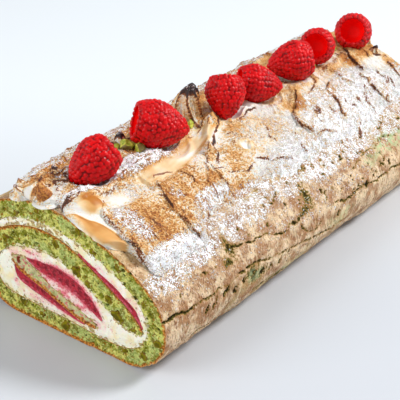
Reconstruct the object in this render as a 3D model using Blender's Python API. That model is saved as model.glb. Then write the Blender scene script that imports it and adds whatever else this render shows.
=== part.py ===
"""Pistachio roll cake: a rolled green sponge filled with cream and raspberry jelly, under a toasted
meringue with a row of raspberries and chopped pistachios. Lengths below are in millimetres.

The roll lies along Y with its cut face at the low end of Y. A section point is (x, z), a place on the
crust is (y, s): s is the distance along the section from the top of the roll, positive to the right."""

import math
import random

import bmesh
import bpy
from mathutils import Matrix, Vector, noise
from mathutils.geometry import delaunay_2d_cdt

# Driving dimensions
ROLL_LENGTH = 250.0
BEND = 4.0
GAP = 0.35
MERINGUE_GAP = 0.55
METRES = 0.001
CRUST_PER_SPAN = 10
PER_SPAN = 2  # points of an outline for each span between the places given below
STATIONS = 4  # sections along the roll

# Sponge strip, from its inner tip to its outer end: x, z and thickness of its middle line
SPONGE_LINE = (
    (48.5, 18.9, 3.0),
    (44.5, 20.8, 7.0),
    (38.0, 24.4, 10.0),
    (29.0, 29.8, 10.6),
    (18.0, 36.4, 10.0),
    (6.0, 42.0, 10.6),
    (-6.0, 43.6, 10.6),
    (-18.0, 41.8, 10.0),
    (-29.0, 37.4, 9.4),
    (-37.5, 30.6, 9.0),
    (-41.4, 22.0, 9.0),
    (-40.2, 12.8, 9.0),
    (-34.0, 6.4, 9.4),
    (-24.0, 4.6, 9.6),
    (-10.0, 4.2, 9.2),
    (5.0, 4.2, 9.0),
    (20.0, 3.6, 8.2),
    (34.0, 3.6, 8.0),
    (45.5, 5.8, 9.0),
    (53.0, 12.0, 9.6),
    (56.4, 21.0, 9.8),
    (54.6, 30.6, 9.6),
    (48.0, 38.6, 8.6),
    (38.0, 45.0, 8.0),
    (26.0, 50.4, 8.2),
    (13.0, 54.6, 8.8),
    (0.0, 56.6, 9.2),
    (-13.0, 56.2, 9.2),
    (-26.0, 53.0, 8.8),
    (-38.0, 47.0, 8.6),
    (-47.6, 38.0, 8.4),
    (-52.8, 26.6, 8.4),
    (-53.0, 14.6, 8.0),
    (-50.4, 6.6, 6.6),
    (-48.6, 3.0, 3.6),
)
OUTER_START = 16  # the point of SPONGE_LINE after which its outer side is bare crust
OVERLAP_END = 11.4  # the strip's outer side is covered by the next turn up to this point

# The first fold of the strip cracked off: the short core in the middle of the roll
CORE_LINE = (
    (-25.8, 28.0, 3.6),
    (-21.0, 27.0, 8.2),
    (-14.0, 24.4, 7.2),
    (-5.0, 20.4, 5.0),
    (5.0, 16.8, 5.2),
    (15.0, 13.6, 5.0),
    (22.6, 11.8, 2.8),
)

# Raspberry jelly: x, z and thickness of the free strip, and the thickness of those lying on sponge
MIDDLE_JELLY_LINE = (
    (-17.0, 31.0, 0.8),
    (-10.5, 30.0, 4.4),
    (-3.0, 29.4, 6.6),
    (5.0, 28.8, 7.0),
    (12.5, 26.4, 6.2),
    (19.0, 22.6, 5.0),
    (24.0, 18.8, 3.2),
    (26.2, 16.2, 0.8),
)
OUTER_JELLY = {"from_x": 14.0, "to_x": 48.6, "thickness": 3.0, "fullest": 0.62}
INNER_JELLY = {"from_x": -25.0, "to_x": 17.0, "thickness": 4.8, "fullest": 0.24}
JELLY_EDGE = 0.6
JELLY_INSET = 0.15  # how far the jelly and the cream stand back at both ends of the roll
CREAM_INSET = 0.3
ROOM_OVERHANG = 2.0

# Cracks in the crust: places (y, s) along each, with its width and depth
CRACKS = {
    "side": (
        (-4, 72.6), (6, 72.2), (10, 72.0), (20, 73.6), (35, 74.0), (50, 74.2), (60, 73.2),
        (70, 74.6), (80, 77.0), (92, 79.0), (104, 81.4), (118, 84.5), (132, 87.0),
    ),
    "upper": (
        (50, 57.0), (52, 61.0), (57, 62.8), (64, 64.0), (71, 64.8), (78, 64.6), (81, 68.2),
        (87, 69.8), (91, 67.2), (96, 68.6), (102, 66.8), (107, 65.4), (110, 60.2), (113, 57.0),
    ),
    "lower": ((18, 86.2), (25, 85.0), (31, 87.6), (42, 87.0), (56, 88.0), (70, 89.4), (86, 90.6)),
    "back": ((150, 63.0), (160, 61.0), (168, 58.6), (178, 60.0), (190, 57.6), (197, 61.0)),
    "far": ((128, 71.0), (140, 73.4), (156, 72.4), (170, 75.0), (184, 73.6), (200, 76.4)),
    "left": ((8, -76), (40, -74), (75, -78), (104, -76), (140, -79), (176, -75), (215, -78)),
}
CRACK_WIDTH = 1.5
CRACK_DEPTH = 2.6
CRACK_STEP = 5.0
CRACK_WANDER = 0.7
CUTTER_RISE = 0.7

# Meringue: lower edges (y, s) on each side, and its thickness
RIGHT_EDGE = (
    (-1.5, 33), (1, 38), (3, 44), (4, 49), (5, 52), (9, 54.5), (20, 54), (36, 53), (42, 53), (48, 48),
    (56, 43), (70, 44), (80, 43), (92, 44), (104, 45), (118, 47), (130, 46), (143, 46),
    (158, 47), (172, 48), (188, 49), (200, 47), (210, 45), (222, 46), (236, 45), (249, 42),
)
LEFT_EDGE = (
    (-1.5, -28), (6, -33), (16, -38), (30, -44), (48, -50), (64, -46), (82, -52), (100, -46),
    (120, -52), (140, -47), (160, -53), (182, -48), (204, -54), (226, -47), (249, -44),
)
MERINGUE_START = -1.0
MERINGUE_END = 249.0
MERINGUE_COLUMNS = 52
MERINGUE_ROWS = 24
UNDER_COLUMNS = 14
UNDER_SPACING = 6.0
MERINGUE_THICKNESS = 3.4
EDGE_THICKNESS = 1.3
# Spatula strokes: height of each and its raised near edge, as places (y, s) from the crest outwards
STROKES = (
    (2.6, ((17, 13), (11, 18), (9.5, 26), (9, 34), (8.5, 42), (8, 50))),
    (2.4, ((50, 14), (45, 22), (41.5, 29), (40.5, 36), (41.5, 43), (43, 54))),
    (4.4, ((106, 2), (100, 7), (90, 12), (84, 19), (80, 27), (75, 33), (74, 40))),
    (2.6, ((180, 10), (165, 17), (150, 22), (143, 26), (142, 32), (144, 40))),
    (2.4, ((222, 8), (214, 18), (209, 28), (209, 38), (216, 46))),
)
STROKE_TAIL = 26.0

# Raspberries: place of the middle, the way the tip points, width and length
BERRIES = (
    ((0.6, 26.0, 72.0), (-0.25, -0.85, -0.45), 21.8, 23.0),
    ((1.2, 72.0, 73.4), (0.66, 0.70, -0.26), 23.4, 25.6),
    ((2.8, 117.2, 71.6), (0.34, -0.42, -0.80), 20.8, 20.8),
    ((4.6, 144.6, 71.0), (0.66, 0.72, -0.20), 20.4, 22.4),
    ((1.2, 175.0, 73.0), (-0.56, -0.74, -0.10), 22.8, 23.8),
    ((0.4, 203.0, 73.2), (-0.40, 0.84, -0.36), 20.0, 20.0),
    ((2.4, 237.2, 72.1), (-0.38, 0.84, -0.38), 21.2, 20.4),
)
DRUPELET_RINGS = 6
DRUPELETS_ROUND = 10
DRUPELET_RELIEF = 0.9
DRUPELET_SCATTER = 0.12
OPEN_END = 0.78  # radius at the open end, as a share of the fullest
FULLEST = (0.36, 0.28)  # shares of the length where the berry stops widening and starts to narrow
TAPER = (1.7, 0.68)  # how the berry narrows towards its tip: bulge and bluntness
HOLLOW = ((0.35, 0.1), (0.32, 0.0), (0.26, 4.5), (0.15, 8.5))  # rings of the hollow: radius by width, depth
BERRY_ROOM = 1.0  # clearance round a berry where it presses into the meringue

# Toasted peaks: foot (y, s), height, foot radius, lean along x and y, bluntness
PEAKS = (
    (2.0, -19.0, 1.8, 3.0, -3.0, -1.0, 1.3),
    (8.0, -24.0, 1.8, 2.8, -3.0, 0.0, 1.3),
    (22.0, -16.0, 3.4, 3.2, -3.0, -1.0, 1.4),
    (46.0, -11.0, 5.0, 3.4, 0.5, 5.0, 1.5),
    (57.0, -13.0, 6.5, 3.8, -1.0, 3.0, 1.9),
    (99.0, -8.5, 18.0, 7.0, 3.0, 3.5, 2.4),
    (90.0, -13.0, 8.0, 4.6, -1.0, 4.0, 1.6),
    (103.0, 5.0, 4.0, 4.0, -2.0, 2.0, 2.2),
    (134.0, -13.0, 4.0, 3.8, -2.0, 4.0, 1.4),
    (160.0, -12.0, 9.0, 3.0, 0.0, 2.0, 1.7),
    (192.0, -15.0, 4.0, 3.6, -2.0, 3.0, 1.4),
    (222.0, -14.0, 5.0, 3.8, -2.0, 3.0, 1.4),
    (246.0, 8.0, 4.5, 3.2, 2.0, 2.0, 1.6),
    (240.0, 16.0, 4.5, 3.2, 3.0, 1.0, 1.6),
)
PEAK_SIDES = 8
PEAK_LEVELS = 4
PEAK_FOOT = 1.2
PEAK_RISE = 2.5

# Chopped pistachios on the meringue: place (y, s) and size
PISTACHIOS = (
    (55.5, -7.0, 6.2), (57.8, -1.4, 6.0), (94.5, -0.4, 5.0), (51.5, -10.0, 4.4),
    (192.5, 5.5, 4.6), (60.5, -5.5, 3.8), (133.0, 0.5, 4.2), (161.0, 1.0, 3.8), (221.5, 1.5, 4.2),
)

COLOURS = {
    "sponge": ((0.36, 0.42, 0.13), 0.85),
    "core": ((0.42, 0.45, 0.20), 0.85),
    "cream": ((0.86, 0.80, 0.62), 0.6),
    "jelly": ((0.34, 0.02, 0.05), 0.35),
    "meringue": ((0.80, 0.62, 0.40), 0.6),
    "berry": ((0.55, 0.01, 0.02), 0.35),
}


def clear_scene():
    for old in list(bpy.data.objects):
        bpy.data.objects.remove(old)


def material(name):
    """One Principled material, made once."""
    found = bpy.data.materials.get(name)
    if found:
        return found
    colour, roughness = COLOURS[name]
    made = bpy.data.materials.new(name)
    made.use_nodes = True
    shader = made.node_tree.nodes["Principled BSDF"]
    shader.inputs["Base Color"].default_value = (*colour, 1.0)
    shader.inputs["Roughness"].default_value = roughness
    shader.inputs["Metallic"].default_value = 0.0
    return made


def add_object(name, bm, finish):
    """A bmesh in millimetres becomes a named object in metres, with its normals facing out."""
    bmesh.ops.recalc_face_normals(bm, faces=bm.faces)
    bmesh.ops.scale(bm, vec=(METRES,) * 3, verts=bm.verts)
    mesh = bpy.data.meshes.new(name)
    bm.to_mesh(mesh)
    bm.free()
    mesh.materials.append(material(finish))
    made = bpy.data.objects.new(name, mesh)
    bpy.context.scene.collection.objects.link(made)
    return made


def smooth(rows, per_span):
    """A Catmull-Rom curve through rows of numbers, per_span points for each span."""
    padded = [Vector(row) for row in (rows[0], *rows, rows[-1])]
    made = []
    for a, b, c, d in zip(padded, padded[1:], padded[2:], padded[3:]):
        slope, turn, twist = c - a, 2 * a - 5 * b + 4 * c - d, 3 * b - a - 3 * c + d
        for step in range(per_span):
            t = step / per_span
            made.append(b + 0.5 * (slope * t + turn * t**2 + twist * t**3))
    made.append(Vector(rows[-1]))
    return made


def between(rows, at):
    """The second value of rows, read in a straight line between them at their first value."""
    if at <= rows[0][0]:
        return rows[0][1]
    for (a, low), (b, high) in zip(rows, rows[1:]):
        if at <= b:
            return low + (high - low) * (at - a) / (b - a)
    return rows[-1][1]


def ease(value):
    value = max(0.0, min(1.0, value))
    return value * value * (3 - 2 * value)


def bend(y):
    """How far the roll has curved to the left at y."""
    return -BEND * (y / ROLL_LENGTH) ** 2


def sides(line, per_span, grow=0.0):
    """The left and right sides of a strip that follows line, each moved out by grow."""
    points = smooth(line, per_span)
    left, right = [], []
    for i, (x, z, thickness) in enumerate(points):
        before, after = points[max(i - 1, 0)], points[min(i + 1, len(points) - 1)]
        along = Vector((after[0] - before[0], after[1] - before[1])).normalized()
        across = Vector((-along.y, along.x)) * (thickness / 2 + grow)
        middle = Vector((x, z))
        left.append(middle + across)
        right.append(middle - across)
    return left, right


def on_the_table(points):
    """The roll is flattened where it rests."""
    return [Vector((p.x, max(p.y, 0.0))) for p in points]


def grown_sides(line, per_span, grow):
    """The sides of a strip moved out by grow, with its two ends carried on by as much."""
    left, right = sides(line, per_span, grow)
    for end, inner in ((0, 1), (-1, -2)):
        for side in (left, right):
            side[end] = side[end] + (side[end] - side[inner]).normalized() * grow
    return left, right


def strip_outline(line, per_span, grow=0.0):
    """The closed outline of a strip."""
    left, right = grown_sides(line, per_span, grow)
    return on_the_table(left + right[::-1])


def prism(name, outline, finish, inset=0.0):
    """An outline carried along the roll."""
    bm = bmesh.new()
    rings = []
    for i in range(STATIONS):
        y = inset + (ROLL_LENGTH - 2 * inset) * i / (STATIONS - 1)
        rings.append([bm.verts.new((p.x + bend(y), y, p.y)) for p in outline])
    count = len(outline)
    for a, b in zip(rings, rings[1:]):
        for i in range(count):
            bm.faces.new((a[i], a[(i + 1) % count], b[(i + 1) % count], b[i]))
    bm.faces.new(rings[0][::-1])
    bm.faces.new(rings[-1])
    return add_object(name, bm, finish)


def apply_boolean(target, tools, operation):
    """Joins tools to target or cuts them from it, in one step, and removes them."""
    group = bpy.data.collections.new(target.name + "_tools")
    for tool in tools:
        group.objects.link(tool)
    change = target.modifiers.new("shape", "BOOLEAN")
    change.operand_type = "COLLECTION"
    change.collection = group
    change.operation = operation
    change.solver = "EXACT"
    bpy.context.view_layer.update()
    evaluated = target.evaluated_get(bpy.context.evaluated_depsgraph_get())
    shaped = bpy.data.meshes.new_from_object(evaluated)
    target.modifiers.clear()
    target.data = shaped
    for tool in tools:
        bpy.data.objects.remove(tool)
    bpy.data.collections.remove(group)


def crust_line():
    """The bare outer side of the roll as (s, point, outward direction), from right to left."""
    _, right = sides(SPONGE_LINE, CRUST_PER_SPAN)
    outer = on_the_table(right[OUTER_START * CRUST_PER_SPAN :])
    top = min(range(len(outer)), key=lambda i: abs(outer[i].x) + (100 if outer[i].y < 50 else 0))
    lengths = [0.0]
    for a, b in zip(outer, outer[1:]):
        lengths.append(lengths[-1] + (b - a).length)
    rows = []
    for i, p in enumerate(outer):
        before, after = outer[max(i - 1, 0)], outer[min(i + 1, len(outer) - 1)]
        along = (after - before).normalized()
        rows.append((lengths[top] - lengths[i], p, Vector((along.y, -along.x))))
    return rows


CRUST = crust_line()


def on_crust(y, s, out=0.0):
    """The point at height out over the crust, at y and s."""
    low, high = 0, len(CRUST) - 1
    while high - low > 1:
        middle = (low + high) // 2
        if CRUST[middle][0] > s:
            low = middle
        else:
            high = middle
    a, b = CRUST[low], CRUST[high]
    share = min(1.0, max(0.0, (a[0] - s) / max(a[0] - b[0], 1e-9)))
    p = a[1].lerp(b[1], share) + a[2].lerp(b[2], share).normalized() * out
    return Vector((p.x + bend(y), y, p.y))


def crack_cutter(name, places, rng):
    """A ragged wedge along a crack, wide at the crust and sharp inside."""
    bm = bmesh.new()
    path = []
    for (y0, s0), (y1, s1) in zip(places, places[1:]):
        steps = max(1, round(abs(y1 - y0) / CRACK_STEP))
        for i in range(steps):
            t = i / steps
            wander = rng.uniform(-CRACK_WANDER, CRACK_WANDER)
            path.append((y0 + (y1 - y0) * t, s0 + (s1 - s0) * t + wander))
    path.append(places[-1])
    rows = []
    for i, (y, s) in enumerate(path):
        end = i in (0, len(path) - 1)
        half = CRACK_WIDTH / 2 * (0.35 if end else rng.uniform(0.7, 1.3))
        depth = CRACK_DEPTH * (0.4 if end else rng.uniform(0.75, 1.2))
        edges = [on_crust(y, s - half, CUTTER_RISE), on_crust(y, s + half, CUTTER_RISE)]
        rows.append([bm.verts.new(p) for p in (*edges, on_crust(y, s, -depth))])
    for a, b in zip(rows, rows[1:]):
        for i in range(3):
            bm.faces.new((a[i], a[(i + 1) % 3], b[(i + 1) % 3], b[i]))
    bm.faces.new(rows[0][::-1])
    bm.faces.new(rows[-1])
    return add_object(name, bm, "sponge")


def make_sponge():
    sponge = prism("sponge", strip_outline(SPONGE_LINE, PER_SPAN), "sponge")
    rng = random.Random(4)
    cutters = [crack_cutter("crack_" + name, places, rng) for name, places in CRACKS.items()]
    apply_boolean(sponge, cutters, "DIFFERENCE")
    return sponge


def lying_outline(side, spec, grow=0.0):
    """The outline of jelly lying on a side of the sponge, thickest at its fullest share."""
    base = [p for p in side if spec["from_x"] <= p.x <= spec["to_x"]]
    base.sort(key=lambda p: p.x)
    bottom, top = [], []
    for i, p in enumerate(base):
        share = i / (len(base) - 1)
        full = spec["fullest"]
        rise = share / full if share < full else (1 - share) / (1 - full)
        swell = (spec["thickness"] - JELLY_EDGE) * math.sin(rise * math.pi / 2) ** 1.2
        thickness = JELLY_EDGE + swell
        before, after = base[max(i - 1, 0)], base[min(i + 1, len(base) - 1)]
        along = (after - before).normalized()
        out = Vector((-along.y, along.x)) * spec["way"]
        bottom.append(p + out * (GAP - grow))
        top.append(p + out * (GAP + thickness + grow))
    for line in (bottom, top):
        line[0] = line[0] + (line[0] - line[1]).normalized() * grow
        line[-1] = line[-1] + (line[-1] - line[-2]).normalized() * grow
    return bottom + top[::-1]


def jelly_outlines(grow=0.0):
    """The outlines of the three strips of jelly, by name."""
    _, crust_side = sides(SPONGE_LINE, PER_SPAN)
    inner_turn = crust_side[: 6 * PER_SPAN]
    _, core_side = sides(CORE_LINE, PER_SPAN)
    return {
        "jelly_outer": lying_outline(inner_turn, {**OUTER_JELLY, "way": 1}, grow),
        "jelly_middle": strip_outline(MIDDLE_JELLY_LINE, PER_SPAN, grow),
        "jelly_inner": lying_outline(core_side, {**INNER_JELLY, "way": -1}, grow),
    }


def make_filling():
    """The core, the jelly, and the cream that runs between the turns and round them."""
    prism("sponge_core", strip_outline(CORE_LINE, PER_SPAN), "core")
    for name, outline in jelly_outlines().items():
        prism(name, outline, "jelly", JELLY_INSET)
    left, right = grown_sides(SPONGE_LINE, PER_SPAN, GAP)
    last = int(OVERLAP_END * PER_SPAN)
    outline = on_the_table(left[:-PER_SPAN] + right[:last][::-1])
    cream = prism("cream", outline, "cream", CREAM_INSET)
    tools = [prism("room_core", strip_outline(CORE_LINE, PER_SPAN, GAP), "core", -ROOM_OVERHANG)]
    for name, grown in jelly_outlines(GAP).items():
        tools.append(prism("room_" + name, grown, "jelly", -ROOM_OVERHANG))
    apply_boolean(cream, tools, "DIFFERENCE")
    return cream


def stroke_height(y, s):
    """The raised near edges of the spatula strokes, and the slope that runs down from each."""
    most = 0.0
    for height, places in STROKES:
        rows = sorted((place[1], place[0]) for place in places)
        reach = ease((s - rows[0][0] + 6) / 6) * ease((rows[-1][0] + 6 - s) / 6)
        past = y - between(rows, s)
        if past > -1.2:
            rise = ease((past + 1.2) / 1.6)
            most = max(most, height * reach * rise * max(0.0, 1 - past / STROKE_TAIL))
    return most


def left_stroke_height(y, s):
    """The unseen side has strokes like those that show."""
    return stroke_height(y - 9.0, -s * 0.95)


def crest_height(y, s):
    """The crests on both sides of the row of raspberries, higher between them."""
    right = 2.6 * math.exp(-(((s - 10.5 - 2.0 * math.sin(y / 19)) / 3.4) ** 2))
    left = 1.8 * math.exp(-(((s + 14 + 2.0 * math.sin(y / 15 + 1)) / 4.4) ** 2))
    wave = 0.75 + 0.25 * math.sin(y / 9.0) + 0.15 * math.sin(y / 3.7 + s)
    return (right + left) * wave


def meringue_height(y, s):
    """Thickness of the meringue over the crust."""
    rough = noise.noise(Vector((y / 14, s / 11, 3.0))) * 0.8 + noise.noise(Vector((y / 5, s / 5, 9.0))) * 0.4
    strokes = stroke_height(y, s) if s > 0 else left_stroke_height(y, s)
    height = MERINGUE_THICKNESS + strokes + crest_height(y, s) + rough
    low, high = between(LEFT_EDGE, y), between(RIGHT_EDGE, y)
    inside = min(s - low, high - s)
    return EDGE_THICKNESS + (height - EDGE_THICKNESS) * ease(inside / 12)


def meringue_places():
    """The grid of places (y, s) on the meringue, each row from its left edge to its right."""
    grid = []
    for i in range(MERINGUE_COLUMNS + 1):
        y = MERINGUE_START + (MERINGUE_END - MERINGUE_START) * i / MERINGUE_COLUMNS
        low, high = between(LEFT_EDGE, y), between(RIGHT_EDGE, y)
        grid.append([(y, low + (high - low) * j / MERINGUE_ROWS) for j in range(MERINGUE_ROWS + 1)])
    return grid


def edge_of(grid):
    """What lies along the four sides of a grid, once round."""
    near, far = grid[0], grid[-1]
    first, last = [row[0] for row in grid], [row[-1] for row in grid]
    return near[:-1] + last[:-1] + far[:0:-1] + first[:0:-1]


def underside(places):
    """Points and triangles of the underside: its edge, and wide-spaced places inside it."""
    edge = edge_of(places)
    inside = []
    for i in range(1, UNDER_COLUMNS):
        y = MERINGUE_START + (MERINGUE_END - MERINGUE_START) * i / UNDER_COLUMNS
        low, high = between(LEFT_EDGE, y), between(RIGHT_EDGE, y)
        s = math.ceil((low + 3) / UNDER_SPACING) * UNDER_SPACING
        while s < high - 3:
            inside.append((y, s))
            s += UNDER_SPACING
    points = [Vector(p) for p in edge + inside]
    borders = [(i, (i + 1) % len(edge)) for i in range(len(edge))]
    found, _, triangles, *_ = delaunay_2d_cdt(points, borders, [], 1, 1e-5)
    return found, triangles


def meringue_sheet():
    """The spread meringue as a closed sheet on the roll."""
    bm = bmesh.new()
    places = meringue_places()
    top = [
        [bm.verts.new(on_crust(y, s, MERINGUE_GAP + meringue_height(y, s))) for y, s in row]
        for row in places
    ]
    for a, b in zip(top, top[1:]):
        for j in range(MERINGUE_ROWS):
            bm.faces.new((a[j], b[j], b[j + 1], a[j + 1]))
    found, triangles = underside(places)
    under = [bm.verts.new(on_crust(p.x, p.y, MERINGUE_GAP)) for p in found]
    for corners in triangles:
        bm.faces.new([under[c] for c in corners])
    rim = edge_of(top)
    for i in range(len(rim)):
        n = (i + 1) % len(rim)
        bm.faces.new((rim[i], rim[n], under[n], under[i]))
    return add_object("meringue", bm, "meringue")


def peak(name, y, s, height, radius, lean_x, lean_y, blunt, rng):
    """A pulled-up peak: a folded cone that leans over to its tip."""
    bm = bmesh.new()
    foot = on_crust(y, s, PEAK_FOOT)
    rise = height + PEAK_RISE
    folds = [rng.uniform(0.7, 1.25) for _ in range(PEAK_SIDES)]
    rings = []
    for level in range(PEAK_LEVELS):
        share = level / PEAK_LEVELS
        middle = foot + Vector((lean_x * share**1.6, lean_y * share**1.6, rise * share))
        size = radius * (1 - share**blunt) ** 0.75
        ring = []
        for k, fold in enumerate(folds):
            angle = 2 * math.pi * k / PEAK_SIDES
            ring.append(bm.verts.new(middle + Vector((math.cos(angle), math.sin(angle), 0)) * size * fold))
        rings.append(ring)
    tip = bm.verts.new(foot + Vector((lean_x, lean_y, rise)))
    for a, b in zip(rings, rings[1:]):
        for k in range(PEAK_SIDES):
            n = (k + 1) % PEAK_SIDES
            bm.faces.new((a[k], a[n], b[n], b[k]))
    for k in range(PEAK_SIDES):
        bm.faces.new((rings[-1][k], rings[-1][(k + 1) % PEAK_SIDES], tip))
    bm.faces.new(rings[0][::-1])
    return add_object(name, bm, "meringue")


def pistachio(name, y, s, size, rng):
    """A chopped piece of pistachio, half sunk in the meringue."""
    bm = bmesh.new()
    bmesh.ops.create_icosphere(bm, subdivisions=1, radius=size / 2)
    for v in bm.verts:
        v.co *= rng.uniform(0.8, 1.15)
    place = on_crust(y, s, MERINGUE_GAP + meringue_height(y, s) + size * 0.15)
    turn = Matrix.Rotation(rng.uniform(0, math.pi), 4, "Z")
    flat = Matrix.Diagonal((1.1, 0.85, 0.75, 1.0))
    bmesh.ops.transform(bm, matrix=Matrix.Translation(place) @ turn @ flat, verts=bm.verts)
    return add_object(name, bm, "meringue")


def berry_radius(share, width):
    """The outline of a raspberry: its radius at a share of the way from the open end to the tip."""
    widest, narrows = FULLEST
    bulge, bluntness = TAPER
    blunt = max(0.0, 1 - max(0.0, (share - narrows) / (1 - narrows)) ** bulge) ** bluntness
    opening = math.sin(math.pi / 2 * min(1.0, share / widest))
    return width / 2 * blunt * (OPEN_END + (1 - OPEN_END) * opening)


def placed(bm, middle, way, length):
    """Turns a shape built along Z, from 0 to length, to lie along way with its middle at middle."""
    turn = Vector(way).normalized().to_track_quat("Z", "Y").to_matrix().to_4x4()
    shift = Matrix.Translation(Vector(middle)) @ turn @ Matrix.Translation(Vector((0, 0, -length / 2)))
    bmesh.ops.transform(bm, matrix=shift, verts=bm.verts)


def raspberry(name, middle, way, width, length, rng):
    """A hollow raspberry: rings of drupelets, a point raised at the middle of each, round an open core."""
    bm = bmesh.new()
    around = DRUPELETS_ROUND * 2
    rings, raised = [], set()
    for i in range(1, 2 * DRUPELET_RINGS):
        share = (i / (2 * DRUPELET_RINGS)) ** 0.9
        ring = []
        for k in range(around):
            angle = math.pi * k / DRUPELETS_ROUND
            peaked = i % 2 == 1 and k % 2 == (i // 2) % 2
            radius = berry_radius(share, width) + rng.uniform(-DRUPELET_SCATTER, DRUPELET_SCATTER)
            radius -= 0.0 if peaked else DRUPELET_RELIEF
            v = bm.verts.new((radius * math.cos(angle), radius * math.sin(angle), share * length))
            ring.append(v)
            if peaked:
                raised.add(v)
        rings.append(ring)
    hollow = []
    for wide, depth in HOLLOW:
        ring = []
        for k in range(DRUPELETS_ROUND):
            angle = 2 * math.pi * k / DRUPELETS_ROUND
            spot = Vector((math.cos(angle), math.sin(angle), 0)) * wide * width
            ring.append(bm.verts.new(spot + Vector((0, 0, depth))))
        hollow.append(ring)
    tip = bm.verts.new((0, 0, length))
    for a, b in zip(rings, rings[1:]):
        for k in range(around):
            n = (k + 1) % around
            corners = [a[k], a[n], b[n], b[k]]
            if corners[1] in raised or corners[3] in raised:
                corners = corners[1:] + corners[:1]
            bm.faces.new(corners[:3])
            bm.faces.new((corners[2], corners[3], corners[0]))
    for k in range(around):
        bm.faces.new((rings[-1][k], rings[-1][(k + 1) % around], tip))
    for k in range(DRUPELETS_ROUND):
        n = (k + 1) % DRUPELETS_ROUND
        first = rings[0]
        bm.faces.new((hollow[0][k], hollow[0][n], first[2 * n], first[2 * k + 1], first[2 * k]))
        for a, b in zip(hollow, hollow[1:]):
            bm.faces.new((b[k], b[n], a[n], a[k]))
    bm.faces.new(hollow[-1])
    placed(bm, middle, way, length)
    return add_object(name, bm, "berry")


def berry_room(name, middle, way, width, length):
    """A smooth shell a little larger than a raspberry, which hollows the meringue for it."""
    bm = bmesh.new()
    around, levels = 16, 8
    grow = BERRY_ROOM
    rings = []
    for i in range(levels):
        share = 1 - (1 - i / levels) ** 1.5
        radius = berry_radius(share, width) + grow
        z = share * length - (grow if i == 0 else 0.0)
        ring = []
        for k in range(around):
            angle = 2 * math.pi * k / around
            ring.append(bm.verts.new((radius * math.cos(angle), radius * math.sin(angle), z)))
        rings.append(ring)
    tip = bm.verts.new((0, 0, length + grow))
    for a, b in zip(rings, rings[1:]):
        for k in range(around):
            n = (k + 1) % around
            bm.faces.new((a[k], a[n], b[n], b[k]))
    for k in range(around):
        bm.faces.new((rings[-1][k], rings[-1][(k + 1) % around], tip))
    bm.faces.new(rings[0][::-1])
    placed(bm, middle, way, length)
    return add_object(name, bm, "berry")


def make_meringue():
    meringue = meringue_sheet()
    rng = random.Random(11)
    joined = [peak(f"peak_{i}", *spec, rng) for i, spec in enumerate(PEAKS)]
    joined += [pistachio(f"nut_{i}", *spec, rng) for i, spec in enumerate(PISTACHIOS)]
    apply_boolean(meringue, joined, "UNION")
    rooms = [berry_room(f"room_{i}", *spec) for i, spec in enumerate(BERRIES)]
    apply_boolean(meringue, rooms, "DIFFERENCE")
    return meringue


def make_berries():
    rng = random.Random(23)
    for i, spec in enumerate(BERRIES):
        raspberry(f"raspberry_{i + 1}", *spec, rng)


def rest_at_origin():
    """The origin is on the table, under the middle of the cake's box."""
    bpy.context.view_layer.update()
    corners = [o.matrix_world @ Vector(c) for o in bpy.data.objects for c in o.bound_box]
    low = [min(c[i] for c in corners) for i in range(3)]
    high = [max(c[i] for c in corners) for i in range(3)]
    shift = Matrix.Translation((-(low[0] + high[0]) / 2, -(low[1] + high[1]) / 2, -low[2]))
    for o in bpy.data.objects:
        o.data.transform(shift)


clear_scene()
make_sponge()
make_filling()
make_meringue()
make_berries()
rest_at_origin()
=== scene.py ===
import math

import bpy
import numpy as np
from mathutils import Matrix, Vector
from mathutils.geometry import delaunay_2d_cdt


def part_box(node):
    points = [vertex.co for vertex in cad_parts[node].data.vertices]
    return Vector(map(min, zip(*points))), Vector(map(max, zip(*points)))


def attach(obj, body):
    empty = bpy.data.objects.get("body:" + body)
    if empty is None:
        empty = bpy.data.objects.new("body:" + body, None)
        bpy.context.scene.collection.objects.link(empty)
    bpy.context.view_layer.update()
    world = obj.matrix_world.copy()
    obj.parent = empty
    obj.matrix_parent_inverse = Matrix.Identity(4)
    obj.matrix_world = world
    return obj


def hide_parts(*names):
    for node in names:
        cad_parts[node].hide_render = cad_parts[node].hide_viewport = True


# The looks of a pistachio roll cake. Lengths are in millimetres until a mesh is made, in a frame whose y is 0
# at the cut face. A place in the section is (x, z), and a place on the crust is (y, s): s is the distance
# round the section from the top of the roll, positive to the right.

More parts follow.
